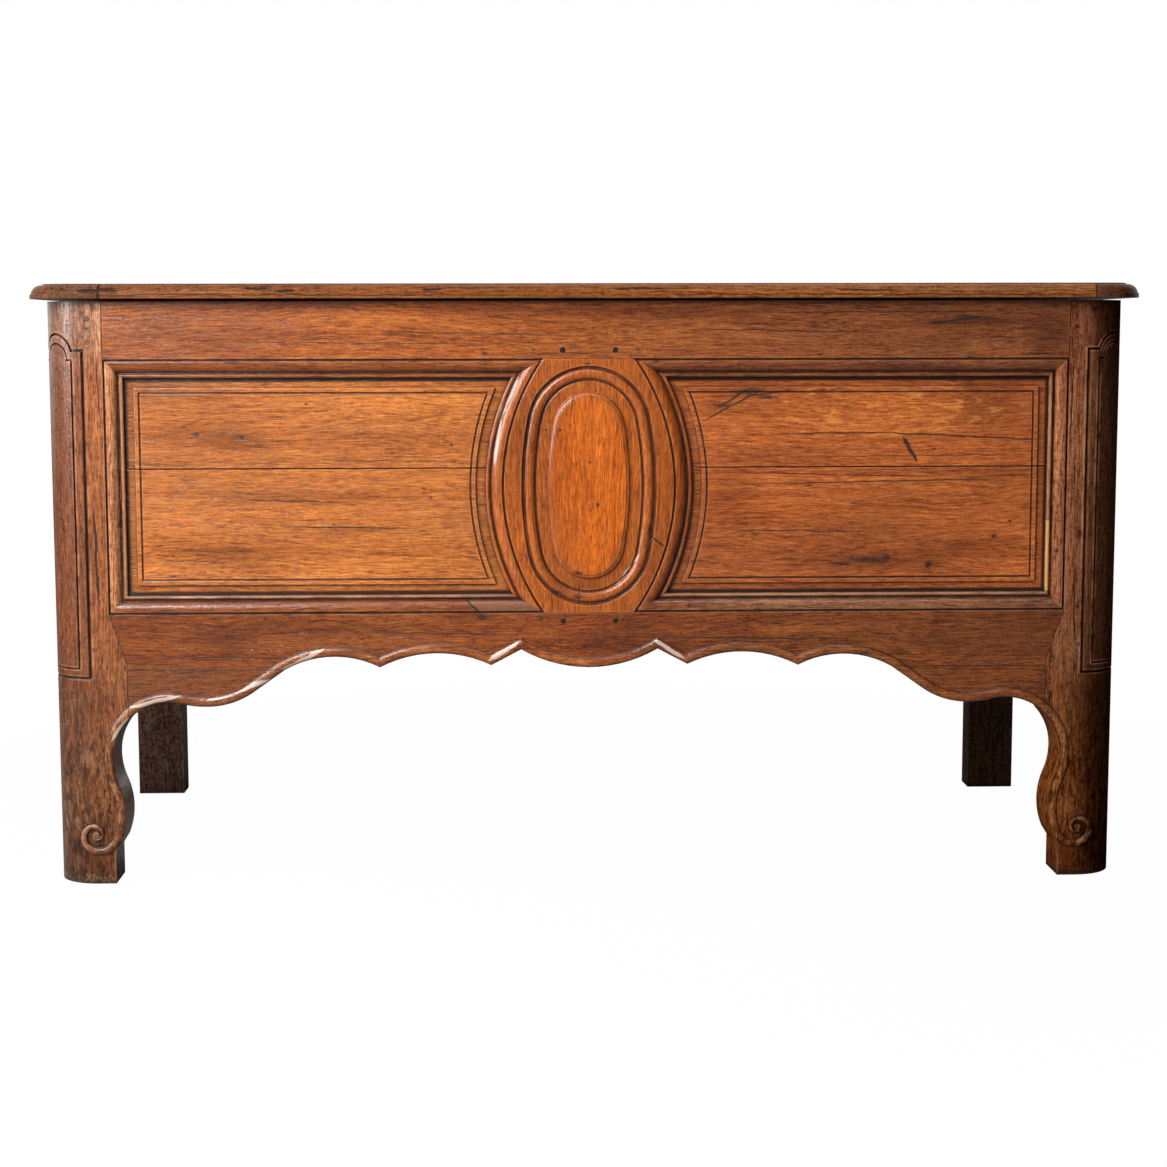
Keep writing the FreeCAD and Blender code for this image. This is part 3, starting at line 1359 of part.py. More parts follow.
def hinge(side, name, nails):
    """A strap under the lid, a leaf on the back and the pin that joins them."""
    across = bound(to_side(side, HINGE))
    strap = new_body("Strap" + name)
    strap.setExpression("Placement.Base.x", across)
    profile = new_sketch(strap, "YZ_Plane", "Profile", negative("strap_width / 2"))
    draw(profile, strap_profile())
    bar = strap.newObject("PartDesign::Pad", "Bar")
    bar.Profile = profile
    bar.setExpression("Length", bound("strap_width"))
    bore_eye(strap, "strap_width")
    taper = new_sketch(strap, "XY_Plane", "Taper", f"({LID_BOTTOM} + overcut)")
    for edge in (1, -1):
        draw(taper, path_to_side(edge, [
            ("(strap_width / 2)", POST_FRONT),
            ("(strap_tip_width / 2)", "(strap_rest - overcut)"),
            ("(strap_width / 2 + overcut)", "(strap_rest - overcut)"),
            ("(strap_width / 2 + overcut)", POST_FRONT),
        ]))
    pocket(strap, taper, "(2 * overcut)", "TaperedEdges")
    node(cut("StrapNailed" + name, strap, nails), f"hinge_strap_{name}")
    leaf = new_body("Leaf" + name)
    leaf.setExpression("Placement.Base.x", across)
    half = "(leaf_width / 2)"
    box_feature(leaf, "Additive", "Plate", (
        (negative(half), half), ("carcass_depth", "(carcass_depth + strap_thickness)"),
        ("(carcass_height - leaf_height)", PIN_HEIGHT)))
    roll = leaf.newObject("PartDesign::Pad", "Roll")
    roll.Profile = round_sketch(leaf, "eye_radius", negative("leaf_width / 2"))
    roll.setExpression("Length", bound("leaf_width"))
    bore_eye(leaf, "leaf_width")
    gap = "(strap_width / 2 + eye_play)"
    box_feature(leaf, "Subtractive", "EyeGap", (
        (negative(gap), gap), ("(carcass_depth - overcut)", f"({PIN_DEPTH} + 2 * eye_radius)"),
        (f"({PIN_HEIGHT} - eye_radius - 2 * eye_play)", f"({PIN_HEIGHT} + 2 * eye_radius)")))
    node(cut("LeafNailed" + name, leaf, labelled("hinge_leaf_nails")), f"hinge_leaf_{name}")
    pin_length = "(leaf_width + 2 * pin_stand)"
    start = f"({to_side(side, HINGE)} - leaf_width / 2 - pin_stand)"
    pin = plain_cylinder("Pin" + name, "pin_radius", pin_length, (start, PIN_DEPTH, PIN_HEIGHT), ALONG_X)
    node(pin, f"hinge_pin_{name}")


def hinge_leaf_nails():
    """Nails through the leaves into the rear top rail."""
    nails = []
    face = "(carcass_depth + strap_thickness)"
    into = "(strap_thickness + nail_length)"
    for side in (-1, 1):
        for across in ("-leaf_nail_share", "leaf_nail_share"):
            for up in ("low_peg_share", "leaf_nail_high_share"):
                x = f"({to_side(side, HINGE)} + ({across}) * leaf_width)"
                z = f"(carcass_height - leaf_height + leaf_height * {up})"
                nails.append(nail((x, face, z), (x, f"({face} - {into})", z), ALONG_Y, into))
    return node(group("LeafNails", nails), "hinge_leaf_nails")


def check_document():
    """Stop if any object failed or any piece is not a sound shape."""
    document.recompute()
    failed = [item.Name for item in document.Objects if {"Invalid", "Error"} & set(item.State)]
    if failed:
        raise RuntimeError("failed: " + ", ".join(failed))
    for item in NODES:
        if item.Shape.isNull() or not item.Shape.isValid():
            raise RuntimeError("not a sound shape: " + item.Label)


def main():
    front_frame()
    for side, name in ((-1, "left"), (1, "right")):
        front_panel(side, name)
    pegs = rear_pegs()
    rear_frame(pegs)
    for side, name in ((-1, "left"), (1, "right")):
        side_frame(side, name, pegs)
        rear_post(side, name, pegs)
    chest_floor()
    lid()
    for side, name in ((-1, "left"), (1, "right")):
        hinge(side, name, labelled("lid_strap_nails"))
    check_document()
    os.makedirs("parts", exist_ok=True)
    for item in NODES:
        item.Shape.exportStep(f"parts/{item.Label}.step")
        print(item.Label, len(item.Shape.Solids), round(item.Shape.Volume))


main()
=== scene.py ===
"""The oak coffer dressed for its picture: waxed oak, old wear, soft light from the upper left."""

import math
from collections import namedtuple

import bmesh
import bpy
from mathutils import Matrix, Vector

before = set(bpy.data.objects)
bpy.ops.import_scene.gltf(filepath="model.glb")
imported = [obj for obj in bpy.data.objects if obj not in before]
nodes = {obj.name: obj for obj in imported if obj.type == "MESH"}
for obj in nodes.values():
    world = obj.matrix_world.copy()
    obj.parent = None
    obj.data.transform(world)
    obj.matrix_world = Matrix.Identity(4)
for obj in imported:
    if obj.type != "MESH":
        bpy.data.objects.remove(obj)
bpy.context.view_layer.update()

# Depths of the coffer's front, in metres
FRAME_FACE = -0.3038
PANEL_FACE = -0.2938
LID_EDGE = -0.3150

# Stretches and places of the front that masks follow, in metres across or up from the floor
STILE_ROUND = (0.630, 0.662)
STILE_BEAD = (0.5980, 0.6034)
STILE_BEAD_LENGTH = (0.379, 0.660)
STILE_MOULDING = (0.6225, 0.6215)
STILE_MOULDING_LENGTH = (0.36, 0.682)
NEW_STRIP = (0.5974, 0.6040)
APRON_BEAD = (0.3738, 0.3786)
APRON_MOULDING = (0.3535, 0.3545)
PANEL_TOP = (0.6535, 0.6560)
PANEL_FOOT = (0.3845, 0.3825)
PANEL_SIDE = (0.5930, 0.5955)
OVAL_MIDDLE = (0, 0, 0.5195)
OVAL_HALF_WIDTH = 0.0485
OVAL_HALF_HEIGHT = 0.116

# Pieces with a bead so close to a hairline joint that their corners are rounded in the material alone
BEADED = ("front_stile", "front_apron", "apron_ear")
BEAD_ROUNDING = 0.0008
CORNER_ROUNDING = 0.0006
CORNER_ANGLE = math.radians(32)
SEAM_WIDTH = 0.00001
FLATNESS = math.radians(0.3)

# Camera, fitted to the straight lines of the front
CAMERA_PLACE = (-0.09144, -3.1218, 0.7162)
CAMERA_YAW = math.radians(1.7036)
CAMERA_PITCH = math.radians(6.539)
CAMERA_ROLL = math.radians(-0.1077)
SENSOR = 36.0
FOCAL_PIXELS = 2182.66
PICTURE_PIXELS = 1167
VIEW_DEPTH = 60

# Soft boxes as name, place, aim, width, height and watts
LAMPS = (
    ("key", (-1.25, -2.2, 1.8), (-0.1, -0.3, 0.5), 0.8, 1.2, 46),
    ("window", (-2.2, -1.35, 1.25), (-0.4, -0.3, 0.5), 1.0, 1.3, 36),
    ("overhead", (-0.1, -1.1, 2.5), (0.1, -0.3, 0.4), 2.4, 0.4, 9),
)
FLOOR_HALF_SIZE = 12

# The room's glow by direction from left to right, and where behind the coffer mirrored light turns white
GLOW = (-0.9, 0.6, 0.26, 0.03)
GLOW_COLOUR = (1.0, 0.985, 0.96, 1)
MIRRORED_BACKDROP = (0.0, 0.4)
WHITE = (1, 1, 1, 1)

# The floor as light meets it, as its shadow shows, and how far from the middle the shadow fades
FLOOR_GREY = (0.30, 0.29, 0.28, 1)
SHADOW_WHITE = (0.9, 0.9, 0.89, 1)
SHADOW_NEAR = 0.9
SHADOW_FAR = 1.6
LIT_SHARE_NEAR = 0.98


def set_camera():
    """Stand the camera where the photograph was taken."""
    ahead = Vector((math.sin(CAMERA_YAW) * math.cos(CAMERA_PITCH),
                    math.cos(CAMERA_YAW) * math.cos(CAMERA_PITCH),
                    -math.sin(CAMERA_PITCH)))
    right = Vector((math.cos(CAMERA_YAW), -math.sin(CAMERA_YAW), 0))
    up = right.cross(ahead)
    turned_right = math.cos(CAMERA_ROLL) * right + math.sin(CAMERA_ROLL) * up
    turned_up = math.cos(CAMERA_ROLL) * up - math.sin(CAMERA_ROLL) * right
    lens = bpy.data.cameras.new("photograph")
    lens.sensor_width = SENSOR
    lens.lens = SENSOR * FOCAL_PIXELS / PICTURE_PIXELS
    lens.clip_end = VIEW_DEPTH
    camera = bpy.data.objects.new("photograph", lens)
    turn = Matrix((turned_right, turned_up, -ahead)).transposed()
    camera.matrix_world = Matrix.Translation(CAMERA_PLACE) @ turn.to_4x4()
    bpy.context.scene.collection.objects.link(camera)
    bpy.context.scene.camera = camera


def soft_light(name, place, aim, width, height, watts):
    """A soft box at a place, turned to a point of the coffer."""
    lamp = bpy.data.lights.new(name, "AREA")
    lamp.shape = "RECTANGLE"
    lamp.size = width
    lamp.size_y = height
    lamp.energy = watts
    box = bpy.data.objects.new(name, lamp)
    box.location = place
    box.rotation_euler = (Vector(aim) - Vector(place)).to_track_quat("-Z", "Y").to_euler()
    bpy.context.scene.collection.objects.link(box)


# Shader helpers


def put(tree, kind, inputs=(), **settings):
    """Add a shader node, with its settings, and its inputs as numbers or as links."""
    made = tree.nodes.new("ShaderNode" + kind)
    for name, value in settings.items():
        setattr(made, name, value)
    for key, value in dict(inputs).items():
        if isinstance(value, bpy.types.NodeSocket):
            tree.links.new(value, made.inputs[key])
        else:
            made.inputs[key].default_value = value
    return made


def new_material(name):
    material = bpy.data.materials.new(name)
    material.use_nodes = True
    material.node_tree.nodes.clear()
    return material


def calc(tree, operation, first, second=0.0):
    return put(tree, "Math", {0: first, 1: second}, operation=operation).outputs[0]


def times(tree, first, second):
    return calc(tree, "MULTIPLY", first, second)


def larger(tree, first, second):
    return calc(tree, "MAXIMUM", first, second)


def remap(tree, value, low, high, to_low=0.0, to_high=1.0):
    """Carry a value from one range to another, clamped at both ends."""
    made = put(tree, "MapRange", {"Value": value, "From Min": low, "From Max": high,
                                  "To Min": to_low, "To Max": to_high})
    return made.outputs[0]


def between(tree, value, low, high, edge):
    """A mask that is 1 between two values, less an edge over which it fades."""
    return times(tree, remap(tree, value, low, low + edge), remap(tree, value, high, high - edge))


def move(tree, operation, first, second):
    return put(tree, "VectorMath", {0: first, 1: second}, operation=operation).outputs[0]


def dot(tree, first, second):
    made = put(tree, "VectorMath", {0: first, 1: second}, operation="DOT_PRODUCT")
    return made.outputs["Value"]


def length_of(tree, vector):
    return put(tree, "VectorMath", {0: vector}, operation="LENGTH").outputs["Value"]


def reach_from(tree, place, middle, scale):
    """How far a place lies from a middle, with a scale of its own on each axis."""
    return length_of(tree, move(tree, "MULTIPLY", move(tree, "SUBTRACT", place, middle), scale))


def axes(tree, place):
    """The coordinates of a place, by the letters X, Y and Z."""
    return put(tree, "SeparateXYZ", {0: place}).outputs


def grain_scale(along, lengthwise, crosswise):
    """A texture scale that is long in the direction of the grain."""
    return tuple(lengthwise if axis == along else crosswise for axis in "xyz")


def noise(tree, place, scale, detail, roughness=0.55):
    stretched = move(tree, "MULTIPLY", place, scale)
    made = put(tree, "TexNoise", {"Vector": stretched, "Scale": 1.0, "Detail": detail,
                                  "Roughness": roughness})
    return made.outputs["Fac"]


def weigh(tree, parts):
    """Noises added up about their middle, each with its own weight."""
    total = 0.5 - 0.5 * sum(weight for value, weight in parts)
    for value, weight in parts:
        added = put(tree, "Math", {0: value, 1: weight, 2: total}, operation="MULTIPLY_ADD")
        total = added.outputs[0]
    return total


def blend(tree, share, first, second):
    return put(tree, "Mix", {0: share, 6: first, 7: second}, data_type="RGBA").outputs[2]


def stain(tree, share, body, colour):
    """Multiply a colour by a tint and keep its grain."""
    made = put(tree, "Mix", {0: share, 6: body, 7: (*colour, 1)}, data_type="RGBA",
               blend_type="MULTIPLY")
    return made.outputs[2]


def tint(colour, red, green, blue):
    return (colour[0] * red, colour[1] * green, colour[2] * blue, 1)


def ramp(tree, share, stops):
    """A run of colours over a share from 0 to 1."""
    made = put(tree, "ValToRGB", {0: share})
    band = made.color_ramp
    band.elements[0].position, band.elements[0].color = stops[0]
    band.elements[1].position, band.elements[1].color = stops[-1]
    for position, colour in stops[1:-1]:
        band.elements.new(position).color = colour
    return made.outputs[0]


# The studio


def white_room():
    """White to the camera and in mirrored light from behind the coffer, else a soft glow from the left."""
    world = bpy.data.worlds.new("studio")
    world.use_nodes = True
    tree = world.node_tree
    tree.nodes.clear()
    path = put(tree, "LightPath").outputs
    direction = axes(tree, put(tree, "TexCoord").outputs["Generated"])
    mirrored = times(tree, path["Is Glossy Ray"], remap(tree, direction["Y"], *MIRRORED_BACKDROP))
    seen = larger(tree, path["Is Camera Ray"], path["Is Transmission Ray"])
    seen = larger(tree, seen, mirrored)
    glow = remap(tree, direction["X"], *GLOW)
    around = put(tree, "Background", {"Color": GLOW_COLOUR, "Strength": glow})
    white = put(tree, "Background", {"Color": WHITE, "Strength": 1.0})
    mixed = put(tree, "MixShader", {0: seen, 1: around.outputs[0], 2: white.outputs[0]})
    put(tree, "OutputWorld", {"Surface": mixed.outputs[0]})
    bpy.context.scene.world = world


def floor_paint():
    """White to the camera apart from a faint shadow under the coffer, and grey to all other light."""
    paint = new_material("pale floor")
    tree = paint.node_tree
    path = put(tree, "LightPath").outputs
    plain = put(tree, "BsdfDiffuse", {"Color": FLOOR_GREY})
    shaded = put(tree, "BsdfDiffuse", {"Color": SHADOW_WHITE})
    lit = put(tree, "Emission", {"Color": WHITE, "Strength": 1.0})
    from_middle = length_of(tree, put(tree, "TexCoord").outputs["Object"])
    fade = put(tree, "MapRange", {"Value": from_middle, "From Min": SHADOW_NEAR, "From Max": SHADOW_FAR,
                                  "To Min": LIT_SHARE_NEAR, "To Max": 1.0},
               interpolation_type="SMOOTHSTEP")
    pale = put(tree, "MixShader", {0: fade.outputs[0], 1: shaded.outputs[0], 2: lit.outputs[0]})
    mixed = put(tree, "MixShader", {0: path["Is Camera Ray"], 1: plain.outputs[0], 2: pale.outputs[0]})
    put(tree, "OutputMaterial", {"Surface": mixed.outputs[0]})
    return paint


def light_studio():
    """A pale floor, a white room and the soft boxes."""
    white_room()
    sheet = bmesh.new()
    bmesh.ops.create_grid(sheet, x_segments=1, y_segments=1, size=FLOOR_HALF_SIZE)
    mesh = bpy.data.meshes.new("floor")
    sheet.to_mesh(mesh)
    sheet.free()
    floor = bpy.data.objects.new("floor", mesh)
    bpy.context.scene.collection.objects.link(floor)
    mesh.materials.append(floor_paint())

    for lamp in LAMPS:
        soft_light(*lamp)
    bpy.context.scene.view_settings.view_transform = "Standard"


# Marks of age, each a mask that is 1 on the mark and 0 beside it

# Noises that break the edges of marks, as scale, detail and roughness
SPOT_EDGE = ((240, 240, 520), 4.0, 0.7)
CLOUD_EDGE = ((18, 18, 120), 4.0, 0.6)
CRACK_WAVE = ((40, 0, 40), 3.0)
SPOT_RAGGEDNESS = 2.0

# How deep a spot reaches to either side of its face, in metres
SPOT_HALF_DEPTH = 0.025

# Ranges over which marks fade in, those of cracks in metres
SPOT_FADE = (1.9, 1.2)
CLOUD_FADE = (1.7, 0.7)
CRACK_FADE = (-0.0003, 0.0004)
CRACK_DEPTH = (0.009, 0.007)


def spot(tree, place, depth, across, height, half_width, half_height):
    """A ragged spot near a depth, such as a knot or a dent."""
    scale = (1 / half_width, 1 / SPOT_HALF_DEPTH, 1 / half_height)
    reach = reach_from(tree, place, (across, depth, height), scale)
    ragged = times(tree, noise(tree, place, *SPOT_EDGE), SPOT_RAGGEDNESS)
    return remap(tree, calc(tree, "ADD", reach, ragged), *SPOT_FADE)


def cloud(tree, place, across, height, half_width, half_height):
    """A broad soft patch, such as a darker band of the board."""
    reach = reach_from(tree, place, (across, 0, height), (1 / half_width, 0, 1 / half_height))
    return remap(tree, calc(tree, "ADD", reach, noise(tree, place, *CLOUD_EDGE)), *CLOUD_FADE)


def crack(tree, place, depth, start, end, width, waver=0.006, taper=0.2):
    """A thin line from one point of the front to another."""
    run = Vector((end[0] - start[0], 0, end[1] - start[1]))
    length = run.length
    run.normalize()
    offset = move(tree, "SUBTRACT", place, (start[0], depth, start[1]))
    forward = dot(tree, offset, run)
    sideways = dot(tree, offset, (-run.z, 0, run.x))
    wave = times(tree, calc(tree, "SUBTRACT", noise(tree, place, *CRACK_WAVE), 0.5), waver)
    beside = calc(tree, "ABSOLUTE", calc(tree, "ADD", sideways, wave))
    ends = calc(tree, "MINIMUM", remap(tree, forward, 0.0, taper * length),
                remap(tree, forward, length, (1 - taper) * length))
    opening = calc(tree, "SUBTRACT", times(tree, ends, width), beside)
    near = remap(tree, calc(tree, "ABSOLUTE", axes(tree, offset)["Y"]), *CRACK_DEPTH)
    return times(tree, remap(tree, opening, *CRACK_FADE), near)


# Joints that show as dark lines: the nodes that meet there, depth, and two ends on the right half
JOINTS = (
    ("front_panel", PANEL_FACE, (0.115, 0.5431), (0.603, 0.5431)),
    (("front_stile", "front_top_rail"), FRAME_FACE, (0.622, 0.684), (0.622, 0.762)),
    (("front_stile", "front_apron_rail"), FRAME_FACE, (0.622, 0.356), (0.600, 0.290)),
    (("front_stile", "apron_ear"), FRAME_FACE, (0.600, 0.292), (0.600, 0.228)),
    (("front_apron_rail", "apron_ear"), FRAME_FACE, (0.600, 0.282), (0.396, 0.282)),
)
JOINT_WIDTH = 0.0007
JOINT_WAVER = 0.0012
JOINT_TAPER = 0.02


def joint_lines(name):
    """The joints on a node's face, as depth and two ends, on the halves that its name speaks of."""
    sides = [side for side, word in ((-1, "left"), (1, "right")) if word in name] or [-1, 1]
    return [(depth, (side * start[0], start[1]), (side * end[0], end[1]))
            for side in sides
            for meeting, depth, start, end in JOINTS
            if name.startswith(meeting)]


# Spots as place, height, half width and half height; cracks as two ends and a width
MARKS = {
    "front_panel_left_upper": (PANEL_FACE, [
        (-0.506, 0.5875, 0.010, 0.004), (-0.4486, 0.5835, 0.009, 0.005), (-0.178, 0.573, 0.004, 0.003),
        (-0.364, 0.626, 0.003, 0.003), (-0.285, 0.584, 0.003, 0.002),
    ], [
        ((-0.59, 0.5485), (-0.50, 0.5475), 0.0007), ((-0.36, 0.5540), (-0.17, 0.5520), 0.0006),
    ]),
    "front_panel_left_lower": (PANEL_FACE, [
        (-0.214, 0.516, 0.004, 0.003), (-0.205, 0.505, 0.005, 0.002), (-0.54, 0.404, 0.010, 0.002),
        (-0.33, 0.47, 0.004, 0.002),
    ], [
        ((-0.47, 0.503), (-0.30, 0.499), 0.0008), ((-0.40, 0.468), (-0.22, 0.465), 0.0009),
        ((-0.56, 0.425), (-0.47, 0.422), 0.0007),
    ]),
    "front_panel_right_upper": (PANEL_FACE, [
        (0.205, 0.641, 0.034, 0.007), (0.173, 0.623, 0.026, 0.004), (0.232, 0.634, 0.020, 0.004),
        (0.45, 0.566, 0.003, 0.002),
    ], [
        ((0.142, 0.599), (0.232, 0.648), 0.0012), ((0.160, 0.617), (0.218, 0.650), 0.0013),
        ((0.196, 0.634), (0.270, 0.643), 0.0010), ((0.247, 0.5862), (0.40, 0.5880), 0.0009),
        ((0.36, 0.5885), (0.600, 0.5772), 0.0011), ((0.4085, 0.584), (0.4285, 0.5475), 0.0026),
        ((0.24, 0.5560), (0.58, 0.5585), 0.0005),
    ]),
    "front_panel_right_lower": (PANEL_FACE, [
        (0.366, 0.4215, 0.040, 0.006), (0.332, 0.416, 0.020, 0.004), (0.4448, 0.415, 0.007, 0.009),
        (0.388, 0.424, 0.012, 0.005), (0.551, 0.4715, 0.003, 0.003), (0.53, 0.452, 0.006, 0.004),
        (0.218, 0.455, 0.008, 0.004), (0.286, 0.519, 0.008, 0.002),
    ], [
        ((0.16, 0.536), (0.46, 0.530), 0.0008), ((0.22, 0.521), (0.55, 0.527), 0.0009),
        ((0.17, 0.462), (0.36, 0.458), 0.0008),
    ]),
    "front_muntin": (FRAME_FACE, [
        (-0.0376, 0.5924, 0.005, 0.004), (-0.0556, 0.5925, 0.004, 0.002), (0.0011, 0.551, 0.003, 0.003),
        (0.0114, 0.4953, 0.004, 0.005), (-0.0147, 0.4064, 0.010, 0.004), (-0.0147, 0.3754, 0.012, 0.004),
        (-0.042, 0.382, 0.008, 0.004), (-0.002, 0.677, 0.006, 0.003), (0.079, 0.463, 0.004, 0.010),
    ], [
        ((-0.019, 0.640), (-0.024, 0.606), 0.0008), ((0.0775, 0.4555), (0.0985, 0.4405), 0.0013),
        ((-0.0125, 0.392), (-0.0135, 0.366), 0.0009),
    ]),
    "front_top_rail": (FRAME_FACE, [
        (0.485, 0.7349, 0.020, 0.004), (0.4527, 0.7299, 0.016, 0.003), (0.298, 0.6885, 0.006, 0.002),
        (0.6021, 0.7507, 0.006, 0.005), (0.585, 0.689, 0.034, 0.003), (-0.134, 0.6905, 0.006, 0.004),
        (0.087, 0.681, 0.006, 0.004),
        (-0.0706, 0.6954, 0.0035, 0.0035), (0.0639, 0.6956, 0.0035, 0.0035),
    ], [
        ((0.43, 0.7265), (0.52, 0.7375), 0.0012), ((0.47, 0.7400), (0.54, 0.7330), 0.0010),
        ((-0.48, 0.7060), (-0.12, 0.7030), 0.0007), ((-0.30, 0.7180), (-0.02, 0.7150), 0.0006),
        ((0.10, 0.7220), (0.40, 0.7160), 0.0008), ((0.20, 0.7420), (0.55, 0.7440), 0.0008),
    ]),
    "front_apron_rail": (FRAME_FACE, [
        (-0.1398, 0.3500, 0.011, 0.007), (-0.4209, 0.3489, 0.004, 0.004), (-0.0622, 0.3468, 0.005, 0.004),
        (0.0443, 0.3462, 0.005, 0.004), (0.130, 0.3630, 0.005, 0.003), (0.36, 0.300, 0.016, 0.004),
    ], [
        ((-0.165, 0.376), (-0.139, 0.353), 0.0014), ((-0.30, 0.330), (-0.10, 0.327), 0.0008),
        ((0.08, 0.322), (0.36, 0.318), 0.0009), ((-0.56, 0.300), (-0.38, 0.296), 0.0008),
    ]),
    "front_stile_left": (FRAME_FACE, [
        (-0.6413, 0.7229, 0.006, 0.005), (-0.6193, 0.6165, 0.0025, 0.004), (-0.6204, 0.5744, 0.0025, 0.005),
        (-0.621, 0.5347, 0.0025, 0.004), (-0.6169, 0.4453, 0.0025, 0.004), (-0.6197, 0.3872, 0.003, 0.005),
    ], [
        ((-0.638, 0.500), (-0.634, 0.360), 0.0016), ((-0.630, 0.690), (-0.627, 0.600), 0.0008),
    ]),
    "front_stile_right": (FRAME_FACE, [
        (0.6535, 0.7466, 0.008, 0.006), (0.6317, 0.7236, 0.006, 0.005), (0.6641, 0.5824, 0.006, 0.009),
        (0.6113, 0.4338, 0.004, 0.006), (0.64, 0.36, 0.004, 0.010), (0.6405, 0.455, 0.005, 0.012),
    ], [
        ((0.628, 0.700), (0.625, 0.560), 0.0008), ((0.634, 0.420), (0.637, 0.300), 0.0010),
    ]),
    "lid_board_front": (LID_EDGE, [
        (-0.6172, 0.7709, 0.012, 0.0035), (-0.420, 0.7735, 0.008, 0.002), (-0.405, 0.7715, 0.004, 0.003),
        (-0.3877, 0.7700, 0.006, 0.003), (-0.198, 0.7720, 0.009, 0.002), (-0.521, 0.7715, 0.005, 0.002),
        (0.06, 0.7725, 0.006, 0.002), (0.34, 0.7705, 0.008, 0.002),
    ], [
        ((-0.6214, 0.758), (-0.6214, 0.784), 0.0016), ((0.6514, 0.758), (0.6514, 0.784), 0.0012),
        ((-0.628, 0.7715), (-0.596, 0.7705), 0.0030), ((-0.440, 0.7735), (-0.405, 0.7725), 0.0016),
        ((-0.400, 0.7705), (-0.372, 0.7700), 0.0018), ((-0.215, 0.7725), (-0.185, 0.7718), 0.0014),
        ((-0.700, 0.7655), (-0.100, 0.7652), 0.0007), ((0.020, 0.7655), (0.700, 0.7650), 0.0007),
        ((0.020, 0.7730), (0.110, 0.7725), 0.0010), ((0.310, 0.7712), (0.400, 0.7705), 0.0012),
    ]),
    "lid_cleat_left": (LID_EDGE, [
        (-0.6300, 0.7690, 0.010, 0.004), (-0.668, 0.7720, 0.008, 0.003),
    ], [((-0.6226, 0.758), (-0.6226, 0.784), 0.0016), ((-0.650, 0.7700), (-0.618, 0.7705), 0.0026)]),
}

# Lines of painted highlight on beads and mouldings, on the beads also polish from hands and feet, as two
# ends and a width
POLISHED_HIGHLIGHTS = {
    "front_apron_rail": [
        ((-0.4184, 0.2690), (-0.340, 0.3130), 0.0030), ((-0.1330, 0.2915), (-0.0900, 0.3200), 0.0034),
        ((0.0800, 0.3215), (0.1260, 0.2930), 0.0026),
    ],
    "apron_ear_left": [
        ((-0.5000, 0.2410), (-0.4100, 0.2720), 0.0030), ((-0.5990, 0.2330), (-0.5300, 0.2500), 0.0026),
    ],
    "front_stile_left": [
        ((-0.6240, 0.1900), (-0.5960, 0.2250), 0.0022),
    ],
    "front_muntin": [
        ((-0.1235, 0.545), (-0.1125, 0.625), 0.0020), ((-0.1165, 0.605), (-0.0890, 0.667), 0.0026),
        ((0.034, 0.390), (0.066, 0.430), 0.0014),
    ],
}

# Broad patches as place, height, half width, half height and tint
DARKER = (0.70, 0.66, 0.62)
BRIGHTER = (1.17, 1.22, 1.15)
REDDER = (1.28, 1.08, 0.76)
SHADES = {
    "front_panel_left_upper": [
        (-0.506, 0.583, 0.07, 0.022, DARKER), (-0.4486, 0.578, 0.05, 0.018, DARKER),
        (-0.25, 0.625, 0.16, 0.030, BRIGHTER), (-0.56, 0.640, 0.05, 0.03, DARKER),
        (-0.36, 0.650, 0.26, 0.006, BRIGHTER),
    ],
    "front_panel_left_lower": [
        (-0.42, 0.5365, 0.20, 0.006, BRIGHTER), (-0.38, 0.508, 0.16, 0.010, DARKER),
        (-0.30, 0.462, 0.14, 0.007, DARKER), (-0.47, 0.432, 0.10, 0.016, DARKER),
        (-0.27, 0.420, 0.13, 0.020, BRIGHTER),
    ],
    "front_panel_right_upper": [
        (0.20, 0.634, 0.09, 0.030, DARKER), (0.40, 0.618, 0.11, 0.024, BRIGHTER),
        (0.52, 0.630, 0.06, 0.040, DARKER), (0.36, 0.590, 0.20, 0.006, BRIGHTER),
    ],
    "front_panel_right_lower": [
        (0.37, 0.421, 0.10, 0.014, DARKER), (0.445, 0.415, 0.03, 0.02, DARKER),
        (0.18, 0.50, 0.05, 0.06, DARKER),
        (0.36, 0.529, 0.15, 0.006, BRIGHTER), (0.50, 0.44, 0.08, 0.020, DARKER),
    ],
    "front_top_rail": [
        (-0.35, 0.735, 0.22, 0.016, BRIGHTER), (0.48, 0.732, 0.10, 0.020, DARKER),
        (0.60, 0.72, 0.04, 0.05, DARKER),
        (-0.06, 0.746, 0.24, 0.007, DARKER), (0.10, 0.742, 0.16, 0.010, DARKER),
    ],
    "front_apron_rail": [
        (-0.16, 0.352, 0.06, 0.012, DARKER), (0.03, 0.318, 0.10, 0.016, DARKER),
        (-0.34, 0.335, 0.12, 0.010, DARKER),
        (0.30, 0.330, 0.14, 0.010, BRIGHTER), (-0.47, 0.322, 0.05, 0.020, DARKER),
        (0.0, 0.335, 0.22, 0.06, REDDER),
    ],
    "front_muntin": [
        (0.0, 0.60, 0.03, 0.05, BRIGHTER), (-0.012, 0.39, 0.04, 0.016, DARKER),
    ],
}

# Oak from its darkest to its palest grain, as places on a scale and shares of a board's own tone
OAK_SHADES = (
    (0.02, (0.36, 0.30, 0.25)),
    (0.26, (0.72, 0.66, 0.59)),
    (0.50, (1.02, 1.0, 0.94)),
    (0.74, (1.26, 1.34, 1.24)),
    (0.98, (1.55, 1.86, 1.75)),
)
PORE_SHADE = (0.20, 0.15, 0.11)
PORE_STRENGTH = 0.6

